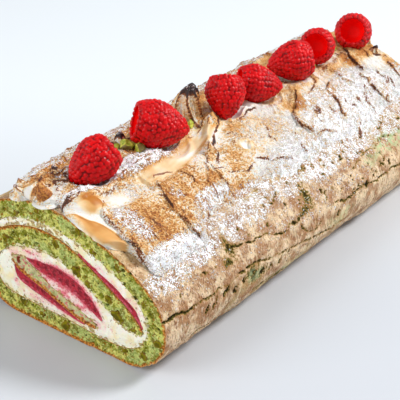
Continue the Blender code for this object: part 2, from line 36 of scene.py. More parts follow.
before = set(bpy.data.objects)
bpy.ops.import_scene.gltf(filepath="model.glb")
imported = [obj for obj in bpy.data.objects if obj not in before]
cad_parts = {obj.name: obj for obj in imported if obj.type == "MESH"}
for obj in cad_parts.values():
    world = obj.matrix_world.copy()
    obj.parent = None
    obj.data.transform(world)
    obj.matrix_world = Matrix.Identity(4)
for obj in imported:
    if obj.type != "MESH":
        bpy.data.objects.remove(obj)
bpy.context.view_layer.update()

# The strip of sponge, from its inner tip to its outer end: x, z and thickness of its middle line
SPONGE_LINE = (
    (48.5, 18.9, 3.0), (44.5, 20.8, 7.0), (38.0, 24.4, 10.0), (29.0, 29.8, 10.6), (18.0, 36.4, 10.0),
    (6.0, 42.0, 10.6), (-6.0, 43.6, 10.6), (-18.0, 41.8, 10.0), (-29.0, 37.4, 9.4), (-37.5, 30.6, 9.0),
    (-41.4, 22.0, 9.0), (-40.2, 12.8, 9.0), (-34.0, 6.4, 9.4), (-24.0, 4.6, 9.6), (-10.0, 4.2, 9.2),
    (5.0, 4.2, 9.0), (20.0, 3.6, 8.2), (34.0, 3.6, 8.0), (45.5, 5.8, 9.0), (53.0, 12.0, 9.6),
    (56.4, 21.0, 9.8), (54.6, 30.6, 9.6), (48.0, 38.6, 8.6), (38.0, 45.0, 8.0), (26.0, 50.4, 8.2),
    (13.0, 54.6, 8.8), (0.0, 56.6, 9.2), (-13.0, 56.2, 9.2), (-26.0, 53.0, 8.8), (-38.0, 47.0, 8.6),
    (-47.6, 38.0, 8.4), (-52.8, 26.6, 8.4), (-53.0, 14.6, 8.0), (-50.4, 6.6, 6.6), (-48.6, 3.0, 3.6),
)
OUTER_START = 16
OVERLAP_END = 11.4
CORE_LINE = (
    (-25.8, 28.0, 3.6), (-21.0, 27.0, 8.2), (-14.0, 24.4, 7.2), (-5.0, 20.4, 5.0), (5.0, 16.8, 5.2),
    (15.0, 13.6, 5.0), (22.6, 11.8, 2.8),
)
MIDDLE_JELLY_LINE = (
    (-17.0, 31.0, 0.8), (-10.5, 30.0, 4.4), (-3.0, 29.4, 6.6), (5.0, 28.8, 7.0), (12.5, 26.4, 6.2),
    (19.0, 22.6, 5.0), (24.0, 18.8, 3.2), (26.2, 16.2, 0.8),
)
OUTER_JELLY = {"from_x": 14.0, "to_x": 48.6, "thickness": 3.0, "fullest": 0.62, "way": 1}
INNER_JELLY = {"from_x": -25.0, "to_x": 17.0, "thickness": 4.8, "fullest": 0.24, "way": -1}
BEND = 4.0
GAP = 0.35
MM = 0.001
PER_SPAN = 10

# Raspberries: middle, the way the tip points, width and length
BERRY_SEED = 300
BERRIES = (
    ((-0.2, 25.2, 71.4), (-0.25, -0.85, -0.45), 20.8, 23.0),
    ((1.2, 72.0, 73.4), (0.66, 0.70, -0.26), 23.4, 25.6),
    ((2.8, 117.2, 71.6), (0.34, -0.42, -0.80), 20.8, 20.8),
    ((4.6, 144.6, 71.0), (0.66, 0.72, -0.20), 20.4, 22.4),
    ((0.4, 174.4, 72.8), (-0.56, -0.74, -0.10), 22.0, 23.2),
    ((0.4, 203.0, 73.2), (-0.40, 0.84, -0.36), 20.0, 20.0),
    ((2.4, 237.2, 72.1), (-0.38, 0.84, -0.38), 21.2, 20.4),
)


def hashed(i, j, k, seed):
    """A number from 0 to 1 for each lattice point."""
    n = (i * 374761393 + j * 668265263 + k * 1440662683 + seed * 982451653) & 0xFFFFFFFF
    n = ((n ^ (n >> 13)) * 1274126177) & 0xFFFFFFFF
    return ((n ^ (n >> 16)) & 0xFFFFFF) / 0xFFFFFF


def as_3d(p):
    """Points as rows of three, the third 0 where there is none."""
    p = np.asarray(p, float)
    return p if p.shape[-1] == 3 else np.concatenate([p, np.zeros(p.shape[:-1] + (1,))], -1)


def noise(p, size, seed=0):
    """Smooth noise from -1 to 1 at points p, its bumps about size across."""
    p = as_3d(p) / size
    base = np.floor(p).astype(np.int64)
    f = p - base
    f = f * f * (3 - 2 * f)
    total = 0.0
    for corner in range(8):
        d = [(corner >> axis) & 1 for axis in range(3)]
        weight = 1.0
        for axis in range(3):
            weight = weight * (f[..., axis] if d[axis] else 1 - f[..., axis])
        total = total + weight * hashed(*(base[..., axis] + d[axis] for axis in range(3)), seed)
    return total * 2 - 1


def rough(p, size, octaves=3, seed=0):
    """Noise of several sizes, each half the last in size and height."""
    total, most = 0.0, 0.0
    for i in range(octaves):
        total = total + noise(p, size / 2**i, seed + 17 * i) / 2**i
        most += 1 / 2**i
    return total / most


def wobble(p, amount, size, seed):
    """Small moves of flat points, up to amount each way."""
    return amount * np.stack([noise(p, size, seed), noise(p, size, seed + 1)], 1)


def in_a_row(values):
    """Places along a line, to take noise at."""
    return np.stack([values, 0 * values], -1)


def cells(p, size, seed=0):
    """Distance to the nearest of scattered points about size apart, and that point's own number."""
    p = as_3d(p) / size
    flat = np.ptp(p[..., 2]) == 0
    base = np.floor(p).astype(np.int64)
    best = np.full(p.shape[:-1], 9.0)
    own = np.zeros(p.shape[:-1])
    for dx in (-1, 0, 1):
        for dy in (-1, 0, 1):
            for dz in (0,) if flat else (-1, 0, 1):
                i, j, k = base[..., 0] + dx, base[..., 1] + dy, base[..., 2] + dz
                off = i + hashed(i, j, k, seed) - p[..., 0], j + hashed(i, j, k, seed + 1) - p[..., 1]
                near = np.hypot(*off)
                if not flat:
                    near = np.hypot(near, k + hashed(i, j, k, seed + 2) - p[..., 2])
                closer = near < best
                best = np.where(closer, near, best)
                own = np.where(closer, hashed(i, j, k, seed + 3), own)
    return best * size, own


def ease(value):
    value = np.clip(value, 0.0, 1.0)
    return value * value * (3 - 2 * value)


def bell(value):
    return np.exp(-np.square(value))


def near_ends(share, part):
    """From 0 at both ends of a line to 1 beyond that part of it."""
    return ease(np.minimum(share, 1 - share) / part)


def looked_up(value, table):
    """The second number of a table's rows where its first number is value."""
    return np.interp(value, *np.array(table).T)


def smooth(rows, per_span):
    """A Catmull-Rom curve through rows of numbers, per_span points for each span."""
    rows = np.array(rows, float)
    padded = np.vstack([rows[:1], rows, rows[-1:]])
    t = (np.arange(per_span) / per_span)[None, :, None]
    a, b, c, d = (padded[i : len(rows) - 1 + i, None, :] for i in range(4))
    made = b + 0.5 * ((c - a) * t + (2 * a - 5 * b + 4 * c - d) * t**2 + (3 * b - a - 3 * c + d) * t**3)
    return np.vstack([made.reshape(-1, rows.shape[1]), rows[-1:]])


def normals_of(path):
    """The left-hand normal at each point of a path."""
    ahead = np.vstack([path[1:], path[-1:]]) - np.vstack([path[:1], path[:-1]])
    ahead /= np.hypot(*ahead.T)[:, None]
    return np.stack([-ahead[:, 1], ahead[:, 0]], 1)


def on_the_table(points):
    return np.stack([points[:, 0], np.maximum(points[:, 1], 0.0)], 1)


def sides(line, grow=0.0):
    """The left and right sides of a strip, moved out by grow and with its ends carried on as much."""
    points = smooth(line, PER_SPAN)
    middle = points[:, :2]
    across = normals_of(middle) * (points[:, 2:] / 2 + grow)
    found = []
    for side in (middle + across, middle - across):
        for end, inner in ((0, 1), (-1, -2)):
            step = side[end] - side[inner]
            side[end] = side[end] + step / np.hypot(*step) * grow
        found.append(on_the_table(side))
    return found


def resample(path, spacing):
    """Points at even spacing along a path."""
    lengths = np.r_[0, np.cumsum(np.hypot(*np.diff(path, axis=0).T))]
    at = np.linspace(0, lengths[-1], max(2, round(lengths[-1] / spacing) + 1))
    return np.stack([np.interp(at, lengths, column) for column in path.T], 1)


def closed(loop):
    return np.vstack([loop, loop[:1]])


def even_loop(loop, spacing):
    return resample(closed(loop), spacing)[:-1]


def distance_to(points, path):
    """Distance to a path, the share of the way along it, and the side: 1 to its right and -1 to its left."""
    best = np.full(len(points), 1e9)
    share, side = np.zeros(len(points)), np.ones(len(points))
    path = np.array(path, float)
    for i, (a, b) in enumerate(zip(path, path[1:])):
        way = b - a
        t = np.clip((points - a) @ way / (way @ way), 0, 1)
        off = points - a - t[:, None] * way
        far = np.hypot(off[:, 0], off[:, 1])
        closer = far < best
        best = np.where(closer, far, best)
        share = np.where(closer, (i + t) / (len(path) - 1), share)
        side = np.where(closer, np.where(off[:, 0] * way[1] > off[:, 1] * way[0], 1, -1), side)
    return best, share, side


def sugar_amount(share):
    """What the sugar's noise has to be raised by so that sugar covers about that share of a place."""
    share = np.clip(share, 0, 1.1)
    return 0.55 * share - 0.2 * share**2 - 0.77


def patches(p, spots):
    """How much of a field of soft oval spots there is at each place: spots are y, s, both radii, amount."""
    total = np.zeros(len(p))
    for y, s, along, across, amount in spots:
        reach = np.hypot((p[:, 0] - y) / along, (p[:, 1] - s) / across)
        total = np.maximum(total, amount * ease(1.6 - reach))
    return total


# Places on the roll

SPONGE_LEFT, SPONGE_RIGHT = sides(SPONGE_LINE)
SPONGE_LOW, SPONGE_HIGH = (np.array(corner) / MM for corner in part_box("sponge"))
ROLL_LENGTH = SPONGE_HIGH[1] - SPONGE_LOW[1]
SHIFT = np.array([SPONGE_HIGH[0] - SPONGE_RIGHT[:, 0].max(), SPONGE_LOW[1], 0.0])


def crust_path():
    """The bare side of the strip, turned to run from left to right, with s at each point."""
    path = SPONGE_RIGHT[OUTER_START * PER_SPAN :][::-1]
    lengths = np.r_[0, np.cumsum(np.hypot(*np.diff(path, axis=0).T))]
    top = np.argmin(np.abs(path[:, 0]) + np.where(path[:, 1] < 50, 100, 0))
    return path, lengths - lengths[top], normals_of(path)


CRUST, CRUST_S, CRUST_OUT = crust_path()


def bend(y):
    return -BEND * np.square(y / ROLL_LENGTH)


def in_section(flat, y):
    """Points of the section at y along the bent roll."""
    return np.stack([flat[:, 0] + bend(y), np.broadcast_to(y, len(flat)), flat[:, 1]], 1)


def carried(loop, ends, stations):
    """A section's outline carried along the roll: points row by row, and the grid's shape."""
    y, k = np.meshgrid(np.linspace(*ends, stations), np.arange(len(loop)), indexing="ij")
    return np.stack([loop[k, 0] + bend(y), y, loop[k, 1]], -1).reshape(-1, 3), y.shape


def on_crust(y, s, out=0.0):
    """Points at height out over the crust."""
    spot = [np.interp(s, CRUST_S, column) for column in CRUST.T]
    way = [np.interp(s, CRUST_S, column) for column in CRUST_OUT.T]
    long = np.hypot(*way)
    return np.stack([spot[0] + way[0] / long * out + bend(y), y, spot[1] + way[1] / long * out], -1)


# Meshes

def piece(name, verts, faces, fields, paint, slot, stands_for=()):
    """A piece of the cake from points in millimetres, arrays of faces and named values for each point."""
    mesh = bpy.data.meshes.new(name)
    faces = [np.asarray(f, np.int32) for f in faces]
    corners = np.concatenate([f.ravel() for f in faces])
    sizes = np.concatenate([np.full(len(f), f.shape[1], np.int32) for f in faces])
    mesh.vertices.add(len(verts))
    mesh.vertices.foreach_set("co", ((np.asarray(verts) + SHIFT) * MM).astype(np.float32).ravel())
    mesh.loops.add(len(corners))
    mesh.loops.foreach_set("vertex_index", corners)
    mesh.polygons.add(len(sizes))
    mesh.polygons.foreach_set("loop_start", np.r_[0, np.cumsum(sizes)[:-1]].astype(np.int32))
    mesh.update(calc_edges=True)
    mesh.validate()
    for field, values in fields.items():
        mesh.attributes.new(field, "FLOAT", "POINT").data.foreach_set("value", np.asarray(values, np.float32))
    mesh.shade_smooth()
    mesh.materials.append(paint)
    made = bpy.data.objects.new(name, mesh)
    bpy.context.scene.collection.objects.link(made)
    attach(made, "root")
    if stands_for:
        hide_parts(*stands_for)


def grid_faces(rows, columns, ring=False):
    """The quads of a grid of points that is filled row by row."""
    last = columns if ring else columns - 1
    i, j = np.meshgrid(np.arange(rows - 1) * columns, np.arange(last), indexing="ij")
    n = (j + 1) % columns
    return np.stack([i + j, i + n, i + columns + n, i + columns + j], -1).reshape(-1, 4)


def inside(points, loop):
    """Which points are inside a closed loop."""
    found = np.zeros(len(points), bool)
    for (x0, z0), (x1, z1) in zip(loop, np.roll(loop, -1, 0)):
        if z0 == z1:
            continue
        crossed = (z0 > points[:, 1]) != (z1 > points[:, 1])
        found ^= crossed & (points[:, 0] < (x1 - x0) * (points[:, 1] - z0) / (z1 - z0) + x0)
    return found


def between(points, loops):
    """Which points are inside the first loop and outside the others."""
    keep = inside(points, loops[0])
    for hole in loops[1:]:
        keep &= ~inside(points, hole)
    return keep


def filled(loops, spacing, seed):
    """Points and triangles that fill the first loop outside the others. The loops' own points come first."""
    rim = np.vstack(loops)
    low, high = rim.min(0), rim.max(0)
    rng = np.random.default_rng(seed)
    across, up = np.meshgrid(
        np.arange(low[0], high[0], spacing), np.arange(low[1], high[1], spacing * 0.87), indexing="ij"
    )
    across[:, ::2] += spacing / 2
    made = np.stack([across.ravel(), up.ravel()], 1) + rng.uniform(-0.22, 0.22, (across.size, 2)) * spacing
    made = made[between(made, loops)]
    clear = np.full(len(made), 1e9)
    for loop in loops:
        clear = np.minimum(clear, distance_to(made, closed(loop))[0])
    points = np.vstack([rim, made[clear > spacing * 0.45]])
    borders, start = [], 0
    for loop in loops:
        borders += [(start + i, start + (i + 1) % len(loop)) for i in range(len(loop))]
        start += len(loop)
    found, _, triangles, *_ = delaunay_2d_cdt([Vector(p) for p in points], borders, [], 0, 1e-6)
    triangles = np.array(triangles)
    found = np.array([tuple(p) for p in found])
    return found, triangles[between(found[triangles].mean(1), loops)]


# Materials

def colour(*shown):
    """A colour as shown on a screen, 0 to 255, as the shader wants it."""
    return (*(((c / 255 + 0.055) / 1.055) ** 2.4 if c > 10 else c / 255 / 12.92 for c in shown), 1.0)


class Paint:
    """A Principled material that is built up node by node. Sizes of texture are in millimetres."""

    def __init__(self, name, **settings):
        self.material = bpy.data.materials.new(name)
        self.material.use_nodes = True
        self.tree = self.material.node_tree
        self.shader = self.tree.nodes["Principled BSDF"]
        self.shader.inputs["Subsurface Scale"].default_value = 0.002
        for socket, value in settings.items():
            self.shader.inputs[socket.replace("_", " ")].default_value = value
        self.place = self.tree.nodes.new("ShaderNodeTexCoord").outputs["Object"]

    def put(self, socket, value):
        if isinstance(value, bpy.types.NodeSocket):
            self.tree.links.new(value, socket)
        else:
            socket.default_value = value

    def math(self, operation, a, b):
        node = self.tree.nodes.new("ShaderNodeMath")
        node.operation = operation
        self.put(node.inputs[0], a)
        self.put(node.inputs[1], b)
        return node.outputs[0]

    def times(self, a, b):
        return self.math("MULTIPLY", a, b)

    def add(self, *values):
        total = values[0]
        for value in values[1:]:
            total = self.math("ADD", total, value)
        return total

    def field(self, name):
        """A value stored at the mesh's points."""
        node = self.tree.nodes.new("ShaderNodeAttribute")
        node.attribute_name = name
        return node.outputs["Fac"]

    def coordinate(self, axis):
        node = self.tree.nodes.new("ShaderNodeSeparateXYZ")
        self.put(node.inputs[0], self.place)
        return node.outputs[axis]

    def grain(self, size, detail, scale=(1, 1, 1)):
        """Noise from 0 to 1 with bumps about size across."""
        stretched = self.tree.nodes.new("ShaderNodeVectorMath")
        stretched.operation = "MULTIPLY"
        self.put(stretched.inputs[0], self.place)
        stretched.inputs[1].default_value = scale
        node = self.tree.nodes.new("ShaderNodeTexNoise")
        self.put(node.inputs["Vector"], stretched.outputs[0])
        node.inputs["Scale"].default_value = 1 / (size * MM)
        node.inputs["Detail"].default_value = detail
        return node.outputs["Fac"]

    def span(self, value, low, high, to_low=0.0, to_high=1.0):
        """Takes low to high smoothly to another range."""
        node = self.tree.nodes.new("ShaderNodeMapRange")
        node.interpolation_type = "SMOOTHSTEP"
        self.put(node.inputs["Value"], value)
        for socket, number in zip(("From Min", "From Max", "To Min", "To Max"), (low, high, to_low, to_high)):
            node.inputs[socket].default_value = number
        return node.outputs["Result"]

    def either(self, grain, amount):
        """A grain taken to the range from -amount to amount."""
        return self.span(grain, 0.3, 0.7, -amount, amount)

    def ragged(self, name, grain, amount):
        """A stored value made uneven by a grain."""
        return self.add(self.field(name), self.either(grain, amount))

    def mix(self, share, a, b):
        """Colour a, turning to b as share goes from 0 to 1."""
        node = self.tree.nodes.new("ShaderNodeMix")
        node.data_type = "RGBA"
        self.put(node.inputs["Factor"], share)
        sockets = [s for s in node.inputs if s.type == "RGBA"]
        self.put(sockets[0], a)
        self.put(sockets[1], b)
        return next(s for s in node.outputs if s.type == "RGBA")

    def two_tone(self, value, low, high, a, b):
        """One colour that turns to another as value goes from low to high."""
        return self.mix(self.span(value, low, high), colour(*a), colour(*b))

    def layers(self, base, *specs):
        """Colours laid over base, each as its value goes from low to high: value, low, high, colour, most."""
        for value, low, high, shown, *most in specs:
            base = self.mix(self.span(value, low, high, 0.0, *most), base, colour(*shown))
        return base

    def bump(self, height, distance, strength):
        """Relief too fine for the mesh, distance millimetres high."""
        node = self.tree.nodes.new("ShaderNodeBump")
        node.inputs["Strength"].default_value = strength
        node.inputs["Distance"].default_value = distance * MM
        self.put(node.inputs["Height"], height)
        self.tree.links.new(node.outputs["Normal"], self.shader.inputs["Normal"])

    def finish(self, base):
        self.put(self.shader.inputs["Base Color"], base)
        return self.material


def sugared(paint, base):
    """Icing sugar over a colour: specks and clumps that close up where the stored amount is higher, with
    painted shade round the clumps.
    """
    speck = paint.times(paint.grain(0.62, 2.0), 0.62)
    clump = paint.times(paint.grain(2.2, 3.0), 0.38)
    amount = paint.add(paint.field("sugar"), speck, clump)
    # Painted shade: dark brown round the edges of the sugar clumps, as if they shaded the surface under them.
    base = paint.layers(base, (amount, -0.07, -0.015, (120, 76, 48), 0.7))
    cover = paint.span(amount, -0.012, 0.015)
    return paint.mix(cover, base, colour(250, 249, 250)), cover


def crumb_colour(paint, fine, middle):
    """Green crumb with pores, nuts, smears of cream and a browned rim. Its green varies at random and is also
    lighter where the bump is high and darker where it is low, as painted light and shade; the pores are
    darkened as painted shade.
    """
    pale = paint.ragged("pale", middle, 0.35)
    nut = paint.ragged("nut", fine, 0.4)
    smear = paint.ragged("smear", paint.grain(1.6, 3.0), 1.2)
    rim = paint.ragged("rim", paint.grain(2.0, 3.0), 0.7)
    pink = paint.times(paint.span(paint.grain(1.7, 2.0), 0.54, 0.60), paint.span(pale, 0.5, 0.9))
    brown = paint.two_tone(fine, 0.4, 0.6, (132, 66, 8), (218, 142, 60))
    # Painted light and shade: the middle and fine grains, which also lift the bump, make the green lighter on
    # its high places and darker on its low ones.
    crumb = paint.layers(
        paint.two_tone(middle, 0.40, 0.60, (130, 132, 26), (216, 212, 108)),
        (paint.grain(9.0, 3.0), 0.48, 0.60, (178, 194, 112), 0.7),
        (paint.grain(4.4, 4.0), 0.54, 0.64, (108, 100, 6), 0.75),
        (fine, 0.54, 0.66, (236, 234, 158), 0.55),
        (fine, 0.45, 0.35, (78, 82, 0), 0.7),
        (paint.grain(2.0, 3.0), 0.60, 0.66, (156, 96, 14), 0.85),
        # Painted shade in the crumb's pores.
        (paint.field("pore"), 0.2, 0.8, (58, 56, 0), 0.9),
        (pale, 0.4, 1.1, (212, 208, 160), 0.75),
    )
    crumb = paint.layers(
        paint.mix(pink, crumb, colour(214, 130, 124)),
        (pale, 1.5, 1.9, (122, 46, 26)),
        (nut, 0.45, 0.05, (110, 66, 4), 0.8),
        (nut, -0.1, -0.5, (134, 124, 4)),
        (nut, -0.6, -1.4, (82, 72, 2), 0.8),
        (smear, 0.2, -0.3, (240, 228, 190), 0.85),
    )
    return paint.mix(paint.span(rim, 1.7, 0.9, 0.0, 0.95), crumb, brown)


def crust_colour(paint, fine, middle):
    """Tan crust with darker flecks, painted shade in its pits, sugar, cracks that turn green inwards and then
    near black as painted shade, and thin green places.
    """
    down = (1, 1, 0.28)
    crack = paint.ragged("crack", fine, 0.25)
    crust = paint.layers(
        paint.two_tone(paint.grain(6.5, 4.0), 0.38, 0.62, (174, 130, 92), (232, 204, 166)),
        (paint.grain(1.0, 3.0, down), 0.46, 0.34, (130, 80, 42), 0.75),
        (paint.grain(0.8, 2.0, down), 0.56, 0.68, (244, 226, 202), 0.5),
        (paint.grain(24.0, 3.0), 0.52, 0.68, (214, 194, 136), 0.4),
        (paint.grain(0.9, 2.0), 0.37, 0.31, (84, 50, 22), 0.85),
        # Painted shade in the pits.
        (paint.field("pit"), 0.2, 0.7, (92, 60, 28), 0.9),
    )
    crust, cover = sugared(paint, crust)
    crust = paint.layers(
        crust,
        # Cracks: browner at their edges, green crumb further in, and near black deepest in, that last as
        # painted shade.
        (crack, 0.45, 0.1, (168, 122, 64), 0.7),
        (crack, 0.14, -0.02, (104, 96, 28)),
        (crack, -0.02, -0.24, (48, 34, 8), 0.95),
    )
    thin = paint.times(paint.field("thin"), paint.span(middle, 0.42, 0.58))
    return paint.mix(thin, crust, colour(186, 200, 150)), cover


def sponge_paint():
    paint = Paint("roll_sponge", Roughness=0.85, Specular_IOR_Level=0.2, Subsurface_Weight=0.1)
    fine, middle = paint.grain(0.9, 3.0), paint.grain(3.0, 5.0)
    crumb = crumb_colour(paint, fine, middle)
    crust, cover = crust_colour(paint, fine, middle)
    paint.bump(paint.add(fine, middle, paint.times(cover, 0.3)), 0.6, 0.9)
    return paint.finish(paint.mix(paint.field("crust"), crumb, crust))


def cream_paint():
    """Ivory cream with crumbs at its edges, stained pink beside the jelly."""
    paint = Paint("cream_filling", Roughness=0.55, Subsurface_Weight=0.2, Subsurface_Scale=0.003)
    soft, fine = paint.grain(2.6, 3.0), paint.grain(0.9, 3.0)
    stain = paint.ragged("stain", soft, 1.0)
    red = paint.times(paint.span(fine, 0.57, 0.62), paint.span(stain, 3.4, 1.8))
    edge = paint.ragged("shore", soft, 1.7)
    crumbs = paint.two_tone(fine, 0.4, 0.6, (140, 100, 34), (200, 178, 104))
    base = paint.layers(
        paint.two_tone(paint.grain(7.0, 4.0), 0.42, 0.62, (255, 250, 230), (250, 232, 184)),
        (stain, 4.6, 1.4, (252, 196, 194), 0.85),
        (stain, 2.2, 0.5, (232, 100, 116), 0.92),
    )
    base = paint.mix(red, base, colour(196, 50, 70))
    base = paint.mix(paint.span(edge, 0.30, -0.10, 0.0, 0.9), base, crumbs)
    base = paint.mix(paint.span(paint.grain(1.4, 2.0), 0.66, 0.70, 0.0, 0.75), base, crumbs)
    paint.bump(paint.add(soft, paint.times(fine, 0.5)), 0.7, 0.8)
    return paint.finish(base)


def jelly_paint():
    """Deep red raspberry jelly, wet where it was cut."""
    paint = Paint("raspberry_jelly", Roughness=0.38, Specular_IOR_Level=0.25, Subsurface_Weight=0.15)
    grain, fine = paint.grain(1.8, 4.0), paint.grain(0.7, 3.0)
    base = paint.layers(
        paint.two_tone(grain, 0.40, 0.60, (126, 8, 26), (186, 38, 56)),
        (fine, 0.60, 0.70, (226, 110, 122), 0.6),
        (paint.ragged("shore", grain, 0.7), 0.7, 0.0, (228, 96, 112), 0.8),
    )
    paint.bump(paint.add(grain, fine), 0.4, 0.8)
    return paint.finish(base)


def meringue_paint():
    """Meringue from white hollows through gold to dark brown edges and black tips, under sugar."""
    paint = Paint("toasted_meringue", Roughness=0.5, Specular_IOR_Level=0.35, Subsurface_Weight=0.1)
    fine, middle = paint.grain(0.75, 3.0), paint.grain(2.4, 4.0)
    matt = paint.span(paint.field("silk"), 0.0, 1.0, 1.0, 0.0)
    grit = paint.times(matt, paint.span(paint.coordinate("Y"), -0.04, 0.01, 1.0, 0.5))
    mottle = paint.add(paint.either(middle, 0.26), paint.span(fine, 0.34, 0.66, -0.36, 0.36))
    wide = paint.either(paint.grain(12.0, 3.0), 0.12)
    toast = paint.add(paint.field("toast"), paint.times(mottle, grit), wide)
    speck = paint.span(paint.grain(0.9, 3.0), 0.43, 0.35)
    specks = paint.times(speck, paint.span(toast, 0.05, 0.5, 0.25, 1.0))
    burn = paint.add(paint.field("burn"), paint.times(paint.either(fine, 0.35), matt))
    base = paint.layers(
        paint.two_tone(toast, 0.0, 0.34, (236, 233, 226), (238, 212, 168)),
        (toast, 0.26, 0.64, (220, 166, 98)),
        (toast, 0.62, 1.0, (190, 120, 46)),
        (toast, 1.0, 1.4, (136, 72, 28)),
    )
    base = paint.layers(
        paint.mix(paint.times(specks, grit), base, colour(122, 66, 26)),
        (burn, 0.30, 0.60, (150, 86, 38)),
        (burn, 0.60, 1.0, (74, 40, 24)),
        (burn, 1.2, 1.8, (44, 34, 38)),
    )
    base, cover = sugared(paint, base)
    relief = paint.times(paint.add(middle, fine), paint.span(cover, 0.0, 1.0, 1.0, 0.45))
    paint.bump(paint.times(relief, matt), 0.8, 1.0)
    return paint.finish(base)


def berry_paint():
    """Red drupelets with painted shade between them and a painted highlight on their tops, redder still in
    the smooth hollow.
    """
    paint = Paint("ripe_raspberry", Specular_IOR_Level=0.18, Subsurface_Weight=0.12)
    drupelet_shading, hollow = paint.field("drupelet_shading"), paint.field("hollow")
    base = paint.layers(
        paint.two_tone(paint.grain(4.0, 2.0), 0.3, 0.7, (172, 0, 2), (214, 0, 4)),
        # Painted highlight, a paler red, on the drupelets' tops, and painted shade, darker red, in the
        # creases between them.
        (drupelet_shading, 0.2, 0.0, (240, 40, 46), 0.2),
        (drupelet_shading, 0.2, 1.0, (116, 0, 6)),
    )
    base = paint.mix(hollow, base, colour(255, 10, 4))
    paint.put(paint.shader.inputs["Roughness"], paint.span(hollow, 0.0, 1.0, 0.18, 0.6))
    paint.bump(paint.grain(0.5, 2.0), 0.05, 0.4)
    return paint.finish(base)


def nut_paint():
    """Pistachio: yellow-green flesh with patches of purple-brown skin."""
    paint = Paint("pistachio_flesh", Roughness=0.55, Subsurface_Weight=0.15)
    grain = paint.grain(1.4, 3.0)
    base = paint.layers(
        paint.two_tone(grain, 0.3, 0.7, (140, 156, 20), (220, 220, 92)),
        (paint.ragged("skin", grain, 0.3), 0.4, 0.7, (112, 84, 50), 0.8),
    )
    paint.bump(grain, 0.25, 0.6)
    return paint.finish(base)


def sugar_paint():
    paint = Paint("sugar_grain", Roughness=0.7, Subsurface_Weight=0.2, Subsurface_Scale=0.001)
    return paint.finish(paint.two_tone(paint.grain(1.0, 1.0), 0.3, 0.7, (232, 232, 236), (242, 242, 244)))


# The sponge

# Cracks in the crust: width and places (y, s) along each
CRACKS = (
    (1.3, ((-2, 70), (3.5, 71), (9.5, 71), (13.5, 72.5), (20, 72.6))),
    (0.7, ((17, 72.4), (27, 72.5), (34, 73), (40.5, 73), (47, 72.5), (54, 72), (58.5, 71.5), (68, 73.5),
           (79.5, 76), (88.5, 77.5), (98, 79), (112, 81.5), (130, 84), (146, 85))),
    (0.75, ((50, 57), (51, 60), (54.5, 60.5), (60, 62), (67, 63.5), (73, 63.5), (76.5, 64), (79.5, 66.5),
            (83.5, 68), (86.5, 69), (92, 66.5), (97, 68.5), (102, 66.8), (105.5, 66))),
    (0.8, ((16, 88), (19, 87), (23.5, 86), (35, 90), (46, 92), (58, 93.5), (72, 93.4), (90, 95))),
    (0.5, ((150, 63.0), (160, 61.0), (168, 58.6), (178, 60.0), (190, 57.6), (197, 61.0))),
    (0.7, ((128, 71.0), (140, 73.4), (156, 72.4), (170, 75.0), (184, 73.6), (200, 76.4))),
    (1.3, ((8, -76), (40, -74), (75, -78), (104, -76), (140, -79), (176, -75), (215, -78))),
    (0.9, ((60, -90), (90, -88), (130, -92), (170, -90))),
    (0.6, ((100, 71), (105, 76), (112, 77.5), (118, 75))),
    (0.5, ((28, 63), (31, 62.5), (33, 64))),
)
# Short nicks in the crust: place, length, slant and width
NICKS = (
    (13, 77.5, 3.5, -0.9, 1.1), (26.5, 77.6, 5, -1.0, 1.3), (30.5, 78.6, 5, -0.9, 1.2),
    (33.5, 76.4, 4.5, -1.0, 1.3), (40, 77, 6, -1.0, 1.5), (42.5, 75.4, 4, -0.7, 1.3),
    (47, 78, 5.5, -0.9, 1.4), (53.5, 76.5, 4.5, -0.9, 1.4), (61, 80, 5.5, -0.9, 1.3),
    (67.5, 79.6, 4.5, -0.8, 1.3), (74, 79.8, 5, -0.9, 1.3), (81.5, 79.8, 5, -0.9, 1.2),
    (88.5, 79.5, 4, -0.8, 1.1), (31, 63.0, 2.4, 0.6, 0.9), (7.5, 58, 1.4, 0.2, 0.8),
    (13.5, 65, 1.4, -0.6, 0.8), (38.5, 63.5, 1.4, -0.6, 0.8), (62.5, 55.5, 2.4, 1.4, 1.1),
    (62, 60, 1.2, 0.5, 0.8), (65, 60, 1.4, -0.6, 0.8), (79.5, 61, 2.6, -0.8, 0.9), (107, 50, 2, 1.0, 1.2),
    (117, 49, 2, 1.2, 1.4), (122, 46.5, 1.8, 0.2, 1.3), (123, 62, 3, -1.0, 1.3), (132, 78, 4, -0.8, 1.8),
    (142, 55, 2, 0.6, 1.2), (148, 65, 2.5, -0.7, 1.0), (159, 73, 4, -1.0, 1.4), (177, 46, 2.5, 1.3, 1.4),
    (195, 51, 3, 0.8, 1.4), (182, 70, 4, -1.0, 1.4), (191.5, 52, 3.5, 1.2, 1.3), (174, 50.5, 4, 1.4, 1.2),
    (20, 92, 5, 0.3, 0.9), (76, 50, 2, 1.1, 1.0), (84, 53, 2, 0.9, 1.0), (96, 58, 2.2, 0.7, 0.9),
    (210, 55, 3, 0.5, 1.2), (228, 60, 4, 0.4, 1.2), (236, 72, 5, -0.6, 1.4), (214, 78, 5, -0.4, 1.2),
    (100, 73, 5, -1.2, 0.9), (112, 74, 6, -1.3, 0.8),
)
# Torn places where the green crumb shows: y, s and both radii
TORN = (
    (51.2, 59.5, 1.5, 3.6), (46.5, 64.5, 2.0, 1.3), (112, 60.5, 1.8, 4.0), (106.5, 65.6, 3.0, 1.3),
    (60, 76.5, 3.4, 2.4), (66.5, 79, 2.4, 1.8), (70, 88.4, 4.5, 1.0), (86, 91.5, 7, 1.0),
    (101, 93.2, 5, 0.9), (121, 48.5, 1.6, 1.0),
)
# Pale green crumb that shows through the thin crust: y, s, both radii, amount
THIN = (
    (188, 61, 10, 4, 0.9), (206, 64, 14, 5, 0.8), (170, 64, 8, 3, 0.5), (228, 68, 14, 5, 0.7),
    (62, 78, 5, 3, 0.5), (134, 80, 12, 3, 0.4), (86, 90, 14, 2, 0.5),
)
